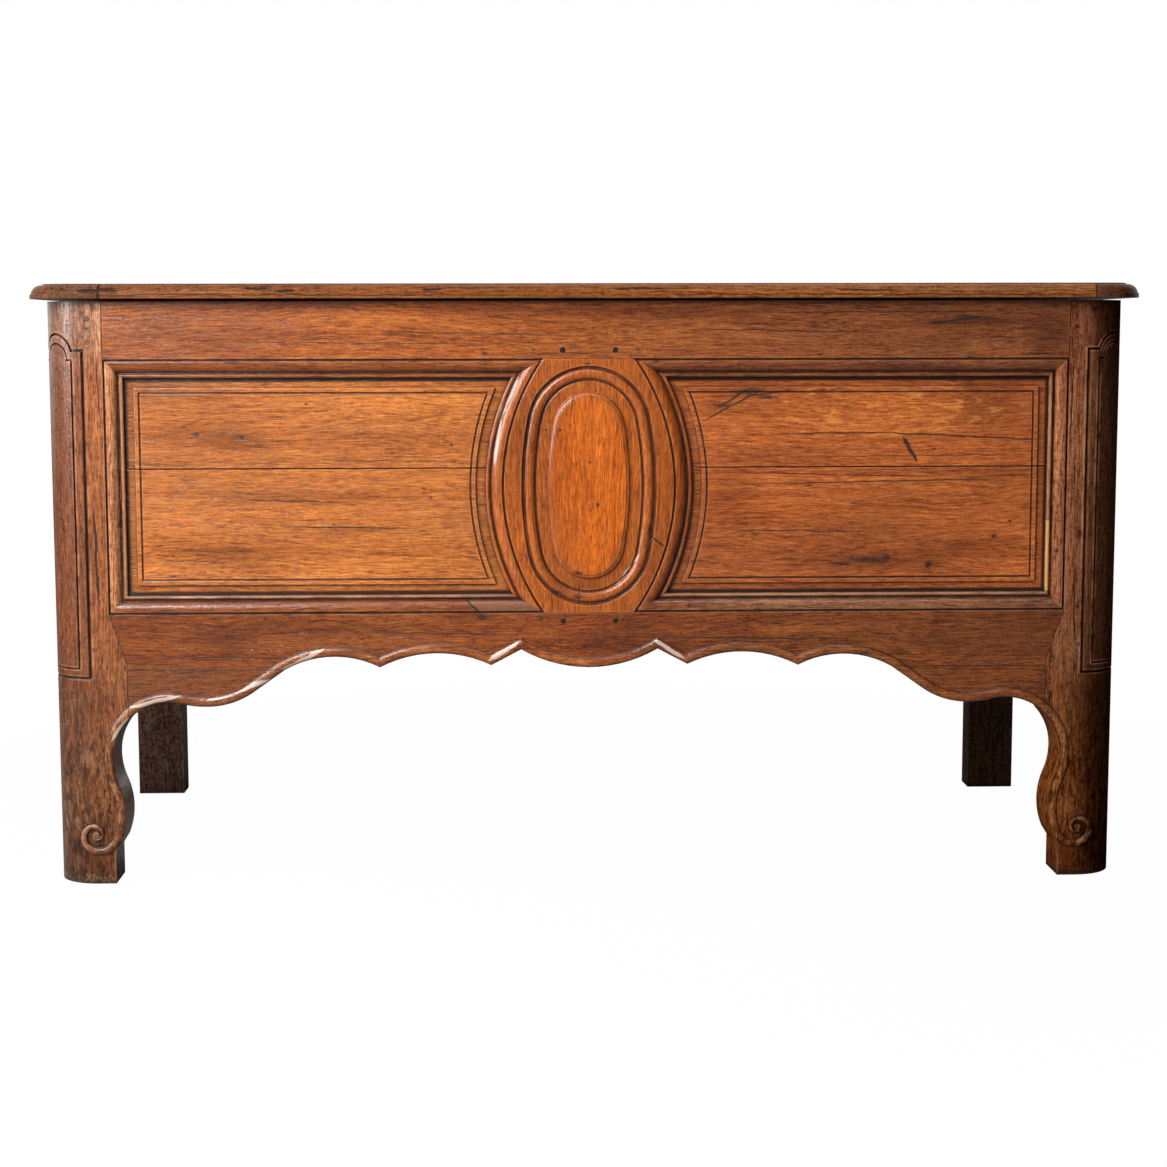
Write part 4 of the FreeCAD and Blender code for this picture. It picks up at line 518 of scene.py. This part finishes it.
# Patterns of the grain as scale along and across it, detail and roughness
GRAIN_PATTERNS = {
    "bands": (1.1, 55, 3.0, 0.55),
    "streaks": (7, 400, 3.0, 0.6),
    "fibres": (50, 720, 2.0, 0.6),
    "pores": (70, 900, 1.0, 0.5),
    "patina": (2.2, 6.0, 5.0, 0.6),
    "planed": (4, 14, 2.0, 0.5),
}

# How the grain wanders: scale along and across it, and reach in metres
DRIFT_SCALE = (2.6, 9)
DRIFT_REACH = 0.045

# Weights of the patterns in the colour, and in the height of the surface
BAND_WEIGHT = 0.45
STREAK_WEIGHT = 0.7
FIBRE_WEIGHT = 1.1
STREAK_HEIGHT = 0.5
FIBRE_HEIGHT = 0.35
PORE_HEIGHT = -0.35
HOLE_DEPTH = 0.6

# Noises that are alike in all directions or belong to one mark, as scale, detail and roughness
SPECKS = ((230, 230, 230), 3.0, 0.65)
CORNER_BREAKS = ((40, 40, 40), 3.0)
CREST_BREAKS = ((34, 34, 34), 4.0, 0.65)
DIRT_SHADE_BREAKS = ((60, 60, 60), 3.0)
WORM_PATCHES = ((9, 9, 9), 2.0)
WORM_SCALE = 62.0

# Ranges over which masks fade in, some with the values that they reach
PORE_FADE = (0.58, 0.68)
PORE_BANDS = (0.4, 0.6, 0.4, 1.0)
PATINA_FADE = (0.44, 0.68, 0.0, 0.8)
CORNER_FADE = (0.93, 0.62)
CORNER_BREAK_FADE = (0.38, 0.58)
CREST_BREAK_FADE = (0.40, 0.62, 0.1, 0.8)
SMOKE_SHADE_FADE = (0.86, 0.42, 0.0, 0.8)
DIRT_SHADE_BREAK_FADE = (0.35, 0.62, 0.55, 0.94)
WORM_FADE = (0.075, 0.05)
WORM_PATCH_FADE = (0.52, 0.6)
PATINA_ROUGHNESS = (0.3, 0.75, 0.28, 0.46)
SPECK_ROUGHNESS = (0.3, 0.7, 0.08, -0.08)
DIRT_ROUGHNESS = 0.35

# How far the surface looks round for corners, hollows and shelter, in metres
CORNER_REACH = 0.003
HOLLOW_REACH = 0.009
SHELTER_REACH = 0.04

# Where corners of beaded pieces wear and take a painted highlight, away from their joints, and how far
# beads stand proud, in metres
UPPER_CORNERS = (0.352, 0.354)
LOWER_CORNERS = (0.105, 0.100)
OUTER_CORNERS = (0.628, 0.630)
CREST_RISE = (0.0012, 0.0023)
QUIRK_START = (0.00003, 0.00012)
QUIRK_END = (0.0011, 0.0005)
POLISHED_HIGHLIGHT_RISE = (0.0006, 0.0014)

# Strengths of colours that hide the wood
QUIRK_SHADE_SOIL_STRENGTH = 0.85
POLISHED_HIGHLIGHT_STRENGTH = 0.8
HOLE_STRENGTH = 0.88

# Wax: its own roughness, and the share of its weight that the wood's shine follows
COAT_ROUGHNESS = 0.13
SHINE_SHARE = 0.5

# Tints that age, wear, painted highlights and painted shade lay over the wood, and colours that hide it
PATINA_TINT = (0.50, 0.47, 0.46)
SMOKE_SHADE_TINT = (0.30, 0.26, 0.24)
CREST_WEAR_HIGHLIGHT_TINT = (1.65, 2.05, 2.7)
GAP_SHADOW_TINT = (0.10, 0.09, 0.08)
PIT_TINT = (0.30, 0.24, 0.20)
FOOT_TINT = (0.72, 0.66, 0.62)
QUIRK_SHADE_SOIL_BLACK = (0.024, 0.011, 0.006, 1)
HOLE_BLACK = (0.026, 0.010, 0.004, 1)
DIRT_SHADE_BLACK = (0.016, 0.008, 0.005, 1)
RUBBED_HIGHLIGHT_GAIN = 1.3
RUBBED_HIGHLIGHT_LIFT = (0.18, 0.12, 0.075)
POLISHED_HIGHLIGHT_WOOD = (0.88, 0.71, 0.60, 1)
WORN_HIGHLIGHT_WOOD = (0.62, 0.32, 0.16, 1)
NEW_WOOD = (0.86, 0.42, 0.16, 1)
LET_IN_WOOD = (0.30, 0.145, 0.075, 1)
FLECK_GOLD = (1.0, 0.36, 0.075, 1)
STILE_PEG = (0.20, 0.075, 0.034, 1)

# How much soiling and painted shade the hollows hold, as the openness where it begins and where it is
# thickest
BEADED_GRIME_AND_SHADE = (0.94, 0.60)
PLAIN_GRIME_AND_SHADE = (0.88, 0.52)

Grain = namedtuple("Grain", "bands streaks fibres pores specks patina planed")
# A finish's wear also sets the strength of the painted highlight on its corners
Finish = namedtuple("Finish", "along tone contrast mottle wax wear")


def oak_grain(tree, moved, along):
    """The patterns of a board, along a grain that wanders a little across its own length."""
    slow = move(tree, "MULTIPLY", moved, grain_scale(along, *DRIFT_SCALE))
    drift = put(tree, "TexNoise", {"Vector": slow, "Scale": 1.0, "Detail": 2.0}).outputs["Color"]
    centred = move(tree, "SUBTRACT", drift, (0.5, 0.5, 0.5))
    sway = move(tree, "MULTIPLY", centred, grain_scale(along, 0, DRIFT_REACH))
    place = move(tree, "ADD", moved, sway)
    patterns = {name: noise(tree, place, grain_scale(along, lengthwise, crosswise), detail, roughness)
                for name, (lengthwise, crosswise, detail, roughness) in GRAIN_PATTERNS.items()}
    dense = remap(tree, patterns["bands"], *PORE_BANDS)
    patterns["pores"] = times(tree, remap(tree, patterns["pores"], *PORE_FADE), dense)
    return Grain(**patterns, specks=noise(tree, moved, *SPECKS))


def oak_colour(tree, grain, finish):
    """Light and dark grain, dark pores and a patchy patina."""
    tone = weigh(tree, (
        (grain.bands, BAND_WEIGHT * finish.contrast),
        (grain.streaks, STREAK_WEIGHT * finish.contrast),
        (grain.fibres, FIBRE_WEIGHT * finish.contrast),
        (grain.specks, finish.mottle),
    ))
    body = ramp(tree, tone, [(place, tint(finish.tone, *shade)) for place, shade in OAK_SHADES])
    body = blend(tree, times(tree, grain.pores, PORE_STRENGTH), body, tint(finish.tone, *PORE_SHADE))
    return stain(tree, remap(tree, grain.patina, *PATINA_FADE), body, PATINA_TINT)


def rubbed_highlit_corners(tree, parts, moved, wear, beaded):
    """Broken wear and painted highlight along the corners, on beaded pieces only away from their hairline
    joints.
    """
    corner = put(tree, "AmbientOcclusion", {"Distance": CORNER_REACH}, samples=4, only_local=True,
                 inside=True)
    broken = remap(tree, noise(tree, moved, *CORNER_BREAKS), *CORNER_BREAK_FADE)
    rubbed_highlit = times(tree, remap(tree, corner.outputs["AO"], *CORNER_FADE, 0.0, wear), broken)
    if not beaded:
        return rubbed_highlit
    ends = larger(tree, remap(tree, parts["Z"], *UPPER_CORNERS), remap(tree, parts["Z"], *LOWER_CORNERS))
    outside = remap(tree, calc(tree, "ABSOLUTE", parts["X"]), *OUTER_CORNERS)
    return times(tree, rubbed_highlit, larger(tree, ends, outside))


def bead_wear_highlight_shade(tree, proud, moved, body):
    """A pale crest of wear and painted highlight on the beads that stand proud of the face, and quirks
    beside them blackened with painted shade and soiling.
    """
    broken = remap(tree, noise(tree, moved, *CREST_BREAKS), *CREST_BREAK_FADE)
    body = stain(tree, times(tree, remap(tree, proud, *CREST_RISE), broken), body, CREST_WEAR_HIGHLIGHT_TINT)
    quirk = times(tree, remap(tree, proud, *QUIRK_START), remap(tree, proud, *QUIRK_END))
    return blend(tree, times(tree, quirk, QUIRK_SHADE_SOIL_STRENGTH), body, QUIRK_SHADE_SOIL_BLACK)


def all_holes(tree, name, here, moved):
    """Worm holes, the marks on a piece and its joints, as one mask."""
    worm = put(tree, "TexVoronoi", {"Vector": here, "Scale": WORM_SCALE}).outputs["Distance"]
    eaten = remap(tree, noise(tree, moved, *WORM_PATCHES), *WORM_PATCH_FADE)
    darkest = times(tree, remap(tree, worm, *WORM_FADE), eaten)
    depth, spots, cracks = MARKS.get(name, (FRAME_FACE, (), ()))
    masks = [spot(tree, here, depth, *one) for one in spots]
    masks += [crack(tree, here, depth, *one) for one in cracks]
    masks += [crack(tree, here, *line, JOINT_WIDTH, JOINT_WAVER, JOINT_TAPER) for line in joint_lines(name)]
    for mask in masks:
        darkest = larger(tree, darkest, mask)
    return darkest


def oak(name, finish, shift):
    """Old waxed oak: grain, patina, soiling and painted shade in the hollows, marks of age, and pale
    corners of wear and painted highlight.
    """
    material = new_material(name)
    tree = material.node_tree
    here = put(tree, "TexCoord").outputs["Object"]
    parts = axes(tree, here)
    moved = move(tree, "ADD", here, shift)
    beaded = name.startswith(BEADED)
    grain = oak_grain(tree, moved, finish.along)

    body = oak_colour(tree, grain, finish)
    for *patch, shade in SHADES.get(name, ()):
        body = stain(tree, cloud(tree, here, *patch), body, shade)
    if name in AGES:
        body = AGES[name](tree, here, body)
    # Pale corners: wear and a painted highlight
    if finish.wear:
        pale = [part * RUBBED_HIGHLIGHT_GAIN + lift for part, lift in zip(finish.tone, RUBBED_HIGHLIGHT_LIFT)]
        body = blend(tree, rubbed_highlit_corners(tree, parts, moved, finish.wear, beaded), body, (*pale, 1))

    # Painted shade, with some smoke, where the frame shelters the wood
    shelter = put(tree, "AmbientOcclusion", {"Distance": SHELTER_REACH}, samples=4)
    body = stain(tree, remap(tree, shelter.outputs["AO"], *SMOKE_SHADE_FADE), body, SMOKE_SHADE_TINT)

    proud = calc(tree, "SUBTRACT", FRAME_FACE, parts["Y"])
    # Painted highlight and wear on the bead crests, painted shade and soiling in their quirks
    if beaded:
        body = bead_wear_highlight_shade(tree, proud, moved, body)
    # Lines of painted highlight, on the beads also polish from wear
    for start, end, width in POLISHED_HIGHLIGHTS.get(name, ()):
        line = crack(tree, here, FRAME_FACE, start, end, width)
        if beaded:
            line = times(tree, line, remap(tree, proud, *POLISHED_HIGHLIGHT_RISE))
        body = blend(tree, times(tree, line, POLISHED_HIGHLIGHT_STRENGTH), body, POLISHED_HIGHLIGHT_WOOD)

    holes = all_holes(tree, name, here, moved)
    body = blend(tree, times(tree, holes, HOLE_STRENGTH), body, HOLE_BLACK)
    # Soiling and painted shade in the hollows
    hollow = put(tree, "AmbientOcclusion", {"Distance": HOLLOW_REACH}, samples=6)
    uneven = remap(tree, noise(tree, moved, *DIRT_SHADE_BREAKS), *DIRT_SHADE_BREAK_FADE)
    grime_and_shade = BEADED_GRIME_AND_SHADE if beaded else PLAIN_GRIME_AND_SHADE
    dirt_and_shade = times(tree, remap(tree, hollow.outputs["AO"], *grime_and_shade), uneven)
    body = blend(tree, dirt_and_shade, body, DIRT_SHADE_BLACK)

    # Roughness and height of the surface
    rough = calc(tree, "ADD", remap(tree, grain.patina, *PATINA_ROUGHNESS),
                 times(tree, larger(tree, dirt_and_shade, holes), DIRT_ROUGHNESS))
    rough = calc(tree, "ADD", rough, remap(tree, grain.specks, *SPECK_ROUGHNESS))
    height = weigh(tree, (
        (grain.fibres, FIBRE_HEIGHT),
        (grain.streaks, STREAK_HEIGHT),
        (grain.specks, finish.mottle),
        (grain.pores, PORE_HEIGHT),
    ))
    height = calc(tree, "SUBTRACT", height, times(tree, holes, HOLE_DEPTH))
    grain_bump = put(tree, "Bump", {"Strength": 0.45, "Distance": 0.0006, "Height": height})
    if beaded:
        worn = put(tree, "Bevel", {"Radius": BEAD_ROUNDING}, samples=4)
        tree.links.new(worn.outputs[0], grain_bump.inputs["Normal"])
    hand_bump = put(tree, "Bump", {"Strength": 0.6, "Distance": 0.004, "Height": grain.planed,
                                   "Normal": grain_bump.outputs[0]})
    surface = put(tree, "BsdfPrincipled", {"Base Color": body, "Roughness": rough,
                                           "Specular IOR Level": SHINE_SHARE * finish.wax,
                                           "Coat Weight": finish.wax,
                                           "Coat Roughness": COAT_ROUGHNESS,
                                           "Normal": hand_bump.outputs[0],
                                           "Coat Normal": hand_bump.outputs[0]})
    put(tree, "OutputMaterial", {"Surface": surface.outputs[0]})
    return material


# Iron: its colours, its patterns, where rust begins and how rough it makes the iron
IRON_BLACK = (0.035, 0.033, 0.032, 1)
IRON_RUST = (0.11, 0.05, 0.025, 1)
RUST_PATCHES = ((60, 60, 60), 5.0, 0.6)
HAMMER_MARKS = ((120, 120, 120), 2.0, 0.4)
RUST_FADE = (0.45, 0.7)
RUST_ROUGHNESS = (0.3, 0.7, 0.42, 0.7)


def forged_iron():
    """Black oxidised iron with a hammered face and patches of rust."""
    material = new_material("forged iron")
    tree = material.node_tree
    place = put(tree, "TexCoord").outputs["Object"]
    rust = noise(tree, place, *RUST_PATCHES)
    body = blend(tree, remap(tree, rust, *RUST_FADE), IRON_BLACK, IRON_RUST)
    hammered = put(tree, "Bump", {"Strength": 0.5, "Distance": 0.001,
                                  "Height": noise(tree, place, *HAMMER_MARKS)})
    surface = put(tree, "BsdfPrincipled", {"Base Color": body, "Metallic": 0.6,
                                           "Roughness": remap(tree, rust, *RUST_ROUGHNESS),
                                           "Normal": hammered.outputs[0]})
    put(tree, "OutputMaterial", {"Surface": surface.outputs[0]})
    return material


# Tints of single pieces
LEFT_ROUND_TINT = (0.58, 0.56, 0.60)
# Painted sheen at the top of the left stile, and a painted highlight on its moulding
LEFT_TOP_SHEEN_TINT = (1.45, 2.25, 3.6)
LEFT_MOULDING_HIGHLIGHT_TINT = (1.55, 1.95, 2.5)
RIGHT_ROUND_TINT = (0.30, 0.28, 0.28)
RIGHT_TOP_TINT = (0.72, 0.62, 0.66)
RAIL_RIGHT_TINT = (0.87, 1.0, 1.8)
# Painted shade on the top rail's moulding
RAIL_MOULDING_SHADE_TINT = (0.82, 0.82, 0.76)
LID_RIGHT_TINT = (1.30, 1.48, 1.95)
APRON_LEFT_TINT = (0.84, 0.75, 0.56)
# Painted sheen on the apron's right moulding
APRON_MOULDING_SHEEN_TINT = (1.12, 1.62, 3.2)
OVAL_RIM_TINT = (0.79, 0.90, 1.5)
# Painted shade on the muntin's right side
MUNTIN_RIGHT_SHADE_TINT = (0.68, 0.62, 0.58)

# Each foot's tint for its low wood, and the colours of its flakes and of its broken end
LEFT_FOOT = ((0.70, 0.75, 0.68), (0.36, 0.20, 0.10, 1), (0.34, 0.19, 0.10, 1))
RIGHT_FOOT = ((0.66, 0.54, 0.31), (0.16, 0.07, 0.035, 1), (0.12, 0.05, 0.03, 1))


# Noises of single pieces, as scale, detail and roughness
BEAD_BREAKS = ((26, 26, 26), 3.0)
PITS = ((150, 150, 60), 4.0, 0.7)
FLAKES = ((120, 120, 40), 4.0, 0.7)
RAGGED_END = ((70, 70, 30), 3.0)
CHIPS = ((260, 260, 200), 3.0, 0.7)
FLECK_WAVE = ((14, 14, 60), 2.0)
FLECK_BREAKS = ((30, 30, 60), 4.0)

# Ranges over which their masks fade in, some with the values that they reach
BEAD_BREAK_FADE = (0.40, 0.60, 0.15, 0.75)
PIT_FADE = (0.47, 0.60)
FLAKE_FADE = (0.55, 0.66, 0.0, 0.65)
CHIP_FADE = (0.46, 0.58)
FLECK_FADE = (0.50, 0.95, 0.0, 0.65)
FLECK_BREAK_FADE = (0.46, 0.56)
FLECK_AREA = (1.25, 0.75)
OVAL_FADE = (0.97, 1.06)
LET_IN_STRENGTH = 0.55

# Stretches of single pieces over which a change sets in, in metres across or up from the floor
BEAD_EDGE = 0.0010
BEAD_END = 0.002
MOULDING_END = 0.010
NEW_STRIP_EDGE = 0.0004
NEW_STRIP_FOOT = (0.3800, 0.3806)
NEW_STRIP_TOP = (0.4726, 0.4716)
LOW_WOOD = (0.33, 0.15)
FOOT_END = (0.085, 0.05)
BROKEN_END = (0.0235, 0.0190)
RAGGED_DEPTH = 0.022
LEFT_TOP = (0.66, 0.74)
RIGHT_TOP = (0.60, 0.70)
RAIL_RIGHT = (-0.1, 0.5)
RAIL_LEFT = (0.1, -0.1)
RAIL_MOULDING = (0.686, 0.684)
LID_RIGHT = (0.0, 0.5)
APRON_LEFT = (-0.22, -0.5)
APRON_RIGHT = (0.06, 0.14)
LET_IN_START = (0.2590, 0.2600)
LET_IN_END = (0.0, -0.01)
LET_IN_SLANT = 1.13
MUNTIN_RIGHT = (0.05, 0.11)
STILE_PEGS = (0.3, 0.31)

# The ray flecks' middle, their stretch across and up, and how close their arcs stand
FLECK_MIDDLE = (0.385, 0, 0.618)
FLECK_STRETCH = (6.0, 0, 26.0)
FLECK_WAVER = 0.9
FLECK_RATE = 21.0


# How single pieces have aged


def worn_highlit_bead(tree, along, low, high, here, body):
    """Pale, broken wear and painted highlight along the bead between a moulding and its panel."""
    broken = remap(tree, noise(tree, here, *BEAD_BREAKS), *BEAD_BREAK_FADE)
    inside = between(tree, along, low, high, BEAD_EDGE)
    return blend(tree, times(tree, inside, broken), body, WORN_HIGHLIGHT_WOOD)


def stile_bead(tree, here, across, height, body):
    """Wear and painted highlight along the upright bead of a stile, as far as its panel reaches."""
    beaded = worn_highlit_bead(tree, across, *STILE_BEAD, here, body)
    return blend(tree, between(tree, height, *STILE_BEAD_LENGTH, BEAD_END), body, beaded)


def old_foot(tree, here, height, body, low_tint, flaked, broken):
    """Darker, pitted and flaked towards the floor, with a broken lower end."""
    low_share = remap(tree, height, *LOW_WOOD)
    body = stain(tree, low_share, body, low_tint)
    pits = remap(tree, noise(tree, here, *PITS), *PIT_FADE)
    body = stain(tree, times(tree, pits, low_share), body, PIT_TINT)
    flakes = remap(tree, noise(tree, here, *FLAKES), *FLAKE_FADE)
    body = blend(tree, times(tree, flakes, low_share), body, flaked)
    body = stain(tree, remap(tree, height, *FOOT_END), body, FOOT_TINT)
    ragged = calc(tree, "ADD", height, times(tree, noise(tree, here, *RAGGED_END), RAGGED_DEPTH))
    chipped = remap(tree, noise(tree, here, *CHIPS), *CHIP_FADE)
    return blend(tree, times(tree, remap(tree, ragged, *BROKEN_END), chipped), body, broken)


def left_stile_age(tree, here, body):
    """Darker on the rounded corner, with a painted sheen at the top and a painted highlight on the
    moulding.
    """
    parts = axes(tree, here)
    across = times(tree, parts["X"], -1.0)
    height = parts["Z"]
    body = stain(tree, remap(tree, across, *STILE_ROUND), body, LEFT_ROUND_TINT)
    # Painted sheen at the top, and a painted highlight on the moulding
    body = stain(tree, remap(tree, height, *LEFT_TOP), body, LEFT_TOP_SHEEN_TINT)
    moulded = times(tree, remap(tree, across, *STILE_MOULDING),
                    between(tree, height, *STILE_MOULDING_LENGTH, MOULDING_END))
    body = stain(tree, moulded, body, LEFT_MOULDING_HIGHLIGHT_TINT)
    body = stile_bead(tree, here, across, height, body)
    return old_foot(tree, here, height, body, *LEFT_FOOT)


def right_stile_age(tree, here, body):
    """Almost black on the rounded corner, with a strip of new wood let into the bead."""
    parts = axes(tree, here)
    across = parts["X"]
    height = parts["Z"]
    body = stain(tree, remap(tree, across, *STILE_ROUND), body, RIGHT_ROUND_TINT)
    body = stile_bead(tree, here, across, height, body)
    body = old_foot(tree, here, height, body, *RIGHT_FOOT)
    body = stain(tree, remap(tree, height, *RIGHT_TOP), body, RIGHT_TOP_TINT)
    strip = times(tree, remap(tree, height, *NEW_STRIP_FOOT), remap(tree, height, *NEW_STRIP_TOP))
    strip = times(tree, strip, between(tree, across, *NEW_STRIP, NEW_STRIP_EDGE))
    return blend(tree, strip, body, NEW_WOOD)


def top_rail_age(tree, here, body):
    """Greyer towards the right end, with painted shade on the left half of the moulding."""
    parts = axes(tree, here)
    body = stain(tree, remap(tree, parts["X"], *RAIL_RIGHT), body, RAIL_RIGHT_TINT)
    # Painted shade on the left half of the moulding, which faces down
    moulded = times(tree, remap(tree, parts["Z"], *RAIL_MOULDING), remap(tree, parts["X"], *RAIL_LEFT))
    return stain(tree, moulded, body, RAIL_MOULDING_SHADE_TINT)


def lid_age(tree, here, body):
    """Paler and greyer towards the right end."""
    return stain(tree, remap(tree, axes(tree, here)["X"], *LID_RIGHT), body, LID_RIGHT_TINT)


def apron_age(tree, here, body):
    """Browner at the left, with a grey painted sheen on the right moulding and a length of moulding let in.
    """
    parts = axes(tree, here)
    across = parts["X"]
    height = parts["Z"]
    raised = remap(tree, height, *APRON_MOULDING)
    body = stain(tree, remap(tree, across, *APRON_LEFT), body, APRON_LEFT_TINT)
    # Grey painted sheen on the right moulding
    body = stain(tree, times(tree, remap(tree, across, *APRON_RIGHT), raised), body, APRON_MOULDING_SHEEN_TINT)
    # Wear and painted highlight along the bead
    body = worn_highlit_bead(tree, height, *APRON_BEAD, here, body)
    slanted = calc(tree, "ADD", across, times(tree, height, LET_IN_SLANT))
    inside = times(tree, remap(tree, slanted, *LET_IN_START), remap(tree, across, *LET_IN_END))
    let_in = times(tree, times(tree, inside, raised), LET_IN_STRENGTH)
    return blend(tree, let_in, body, LET_IN_WOOD)


def gap_shadow(tree, here, body):
    """Painted shadow along the edges of a panel, where it goes into the frame."""
    parts = axes(tree, here)
    beside = remap(tree, calc(tree, "ABSOLUTE", parts["X"]), *PANEL_SIDE)
    edge = larger(tree, remap(tree, parts["Z"], *PANEL_FOOT), beside)
    edge = larger(tree, remap(tree, parts["Z"], *PANEL_TOP), edge)
    return stain(tree, edge, body, GAP_SHADOW_TINT)


def ray_flecks(tree, here, body):
    """Golden flecks in flat arcs on the upper right board, and the painted shadow round it."""
    reach = reach_from(tree, here, FLECK_MIDDLE, FLECK_STRETCH)
    wavering = calc(tree, "ADD", reach, times(tree, noise(tree, here, *FLECK_WAVE), FLECK_WAVER))
    arcs = calc(tree, "SINE", times(tree, wavering, FLECK_RATE))
    broken = remap(tree, noise(tree, here, *FLECK_BREAKS), *FLECK_BREAK_FADE)
    share = times(tree, remap(tree, arcs, *FLECK_FADE), broken)
    share = times(tree, share, remap(tree, reach, *FLECK_AREA))
    return gap_shadow(tree, here, blend(tree, share, body, FLECK_GOLD))


def medallion_age(tree, here, body):
    """Bright in the oval, and browner on the mouldings round it, with painted shade towards the right."""
    reach = reach_from(tree, here, OVAL_MIDDLE, (1 / OVAL_HALF_WIDTH, 0, 1 / OVAL_HALF_HEIGHT))
    body = stain(tree, remap(tree, reach, *OVAL_FADE), body, OVAL_RIM_TINT)
    # Painted shade towards the right
    return stain(tree, remap(tree, axes(tree, here)["X"], *MUNTIN_RIGHT), body, MUNTIN_RIGHT_SHADE_TINT)


def peg_age(tree, here, body):
    """Black pegs in the muntin's joints, and pegs like their own board in the stiles."""
    across = calc(tree, "ABSOLUTE", axes(tree, here)["X"])
    return blend(tree, remap(tree, across, *STILE_PEGS), body, STILE_PEG)


AGES = {
    "front_stile_left": left_stile_age,
    "front_stile_right": right_stile_age,
    "front_top_rail": top_rail_age,
    "front_apron_rail": apron_age,
    "lid_board_front": lid_age,
    "front_panel_right_upper": ray_flecks,
    "front_panel_right_lower": gap_shadow,
    "front_panel_left_upper": gap_shadow,
    "front_panel_left_lower": gap_shadow,
    "front_muntin": medallion_age,
    "front_pegs": peg_age,
}

# Tones of the boards
PANEL_TONE = (0.600, 0.180, 0.041)
RIGHT_PANEL_TONE = (0.60, 0.152, 0.036)
MUNTIN_TONE = (0.74, 0.156, 0.014)
RAIL_TONE = (0.470, 0.118, 0.0215)
STILE_TONE = (0.385, 0.118, 0.042)
RIGHT_STILE_TONE = (0.43, 0.158, 0.074)
APRON_TONE = (0.31, 0.080, 0.018)
LID_TONE = (0.270, 0.080, 0.0185)
CLEAT_TONE = (0.150, 0.055, 0.024)
DARK_TONE = (0.064, 0.032, 0.024)
RIGHT_DARK_TONE = (0.130, 0.062, 0.034)
BARE_TONE = (0.30, 0.16, 0.08)
PEG_TONE = (0.03, 0.012, 0.007)

# Wood that was never waxed: tone, contrast, mottle, wax and wear, which also sets the painted highlight on
# its corners
BARE = (BARE_TONE, 1.8, 0.9, 0.05, 0.30)

# Finish of the wooden nodes by how their names begin: the first row that fits a name counts
FINISHES = (
    ("front_panel_right", Finish("x", RIGHT_PANEL_TONE, 1.7, 0.7, 0.8, 0.30)),
    ("front_panel", Finish("x", PANEL_TONE, 1.6, 0.7, 0.8, 0.30)),
    ("front_muntin", Finish("z", MUNTIN_TONE, 1.5, 0.6, 0.8, 0.35)),
    ("front_top_rail", Finish("x", RAIL_TONE, 2.0, 0.9, 0.8, 0.40)),
    (("front_apron", "apron_ear"), Finish("x", APRON_TONE, 2.1, 1.1, 0.8, 0.40)),
    ("front_stile_right", Finish("z", RIGHT_STILE_TONE, 2.2, 1.6, 0.0, 0.55)),
    ("front_stile_left", Finish("z", STILE_TONE, 2.0, 1.5, 0.6, 0.55)),
    ("rear_post_right", Finish("z", RIGHT_DARK_TONE, 2.5, 3.4, 0.1, 0.25)),
    ("rear_post_left", Finish("z", DARK_TONE, 2.5, 3.4, 0.1, 0.25)),
    ("side_", Finish("y", RAIL_TONE, 1.8, 0.9, 0.8, 0.35)),
    ("lid_cleat", Finish("y", CLEAT_TONE, 2.2, 1.4, 0.10, 0.25)),
    ("lid_board", Finish("x", LID_TONE, 2.1, 1.3, 0.15, 0.25)),
    ("rear_muntin", Finish("z", *BARE)),
    (("rear_panel", "rear_top_rail", "rear_lower_rail", "floor_ledger"), Finish("x", *BARE)),
    ("floor_board", Finish("y", *BARE)),
    (("front_pegs", "rear_pegs"), Finish("y", PEG_TONE, 1.8, 0.9, 0.8, 0.0)),
)

# Steps from one board to the next through the grain, and where they start again
GRAIN_STEPS = ((1.37, 5.0), (2.11, 7.0), (0.73, 3.0))


def finish_of(name):
    return next(finish for start, finish in FINISHES if name.startswith(start))


def dress(name, material):
    piece = nodes[name]
    piece.data.materials.clear()
    piece.data.materials.append(material)


def soften(name):
    """Close a node's seams, round its corners a little and let its curves run smoothly."""
    piece = nodes[name]
    weld = piece.modifiers.new("closed seams", "WELD")
    weld.merge_threshold = SEAM_WIDTH
    flat = piece.modifiers.new("whole faces", "DECIMATE")
    flat.decimate_type = "DISSOLVE"
    flat.angle_limit = FLATNESS
    edge = piece.modifiers.new("worn corners", "BEVEL")
    edge.width = CORNER_ROUNDING
    edge.segments = 2
    edge.limit_method = "ANGLE"
    edge.angle_limit = CORNER_ANGLE
    edge.use_clamp_overlap = False
    edge.harden_normals = True
    edge.miter_outer = "MITER_ARC"
    shade = piece.modifiers.new("even faces", "WEIGHTED_NORMAL")
    shade.mode = "FACE_AREA"
    shade.weight = 100
    shade.keep_sharp = True


set_camera()
light_studio()

iron = forged_iron()
for number, name in enumerate(sorted(nodes)):
    if name.startswith("hinge_") or name.endswith("nails"):
        dress(name, iron)
        continue
    shift = tuple(number * step % span for step, span in GRAIN_STEPS)
    dress(name, oak(name, finish_of(name), shift))
    if not name.startswith(BEADED):
        soften(name)
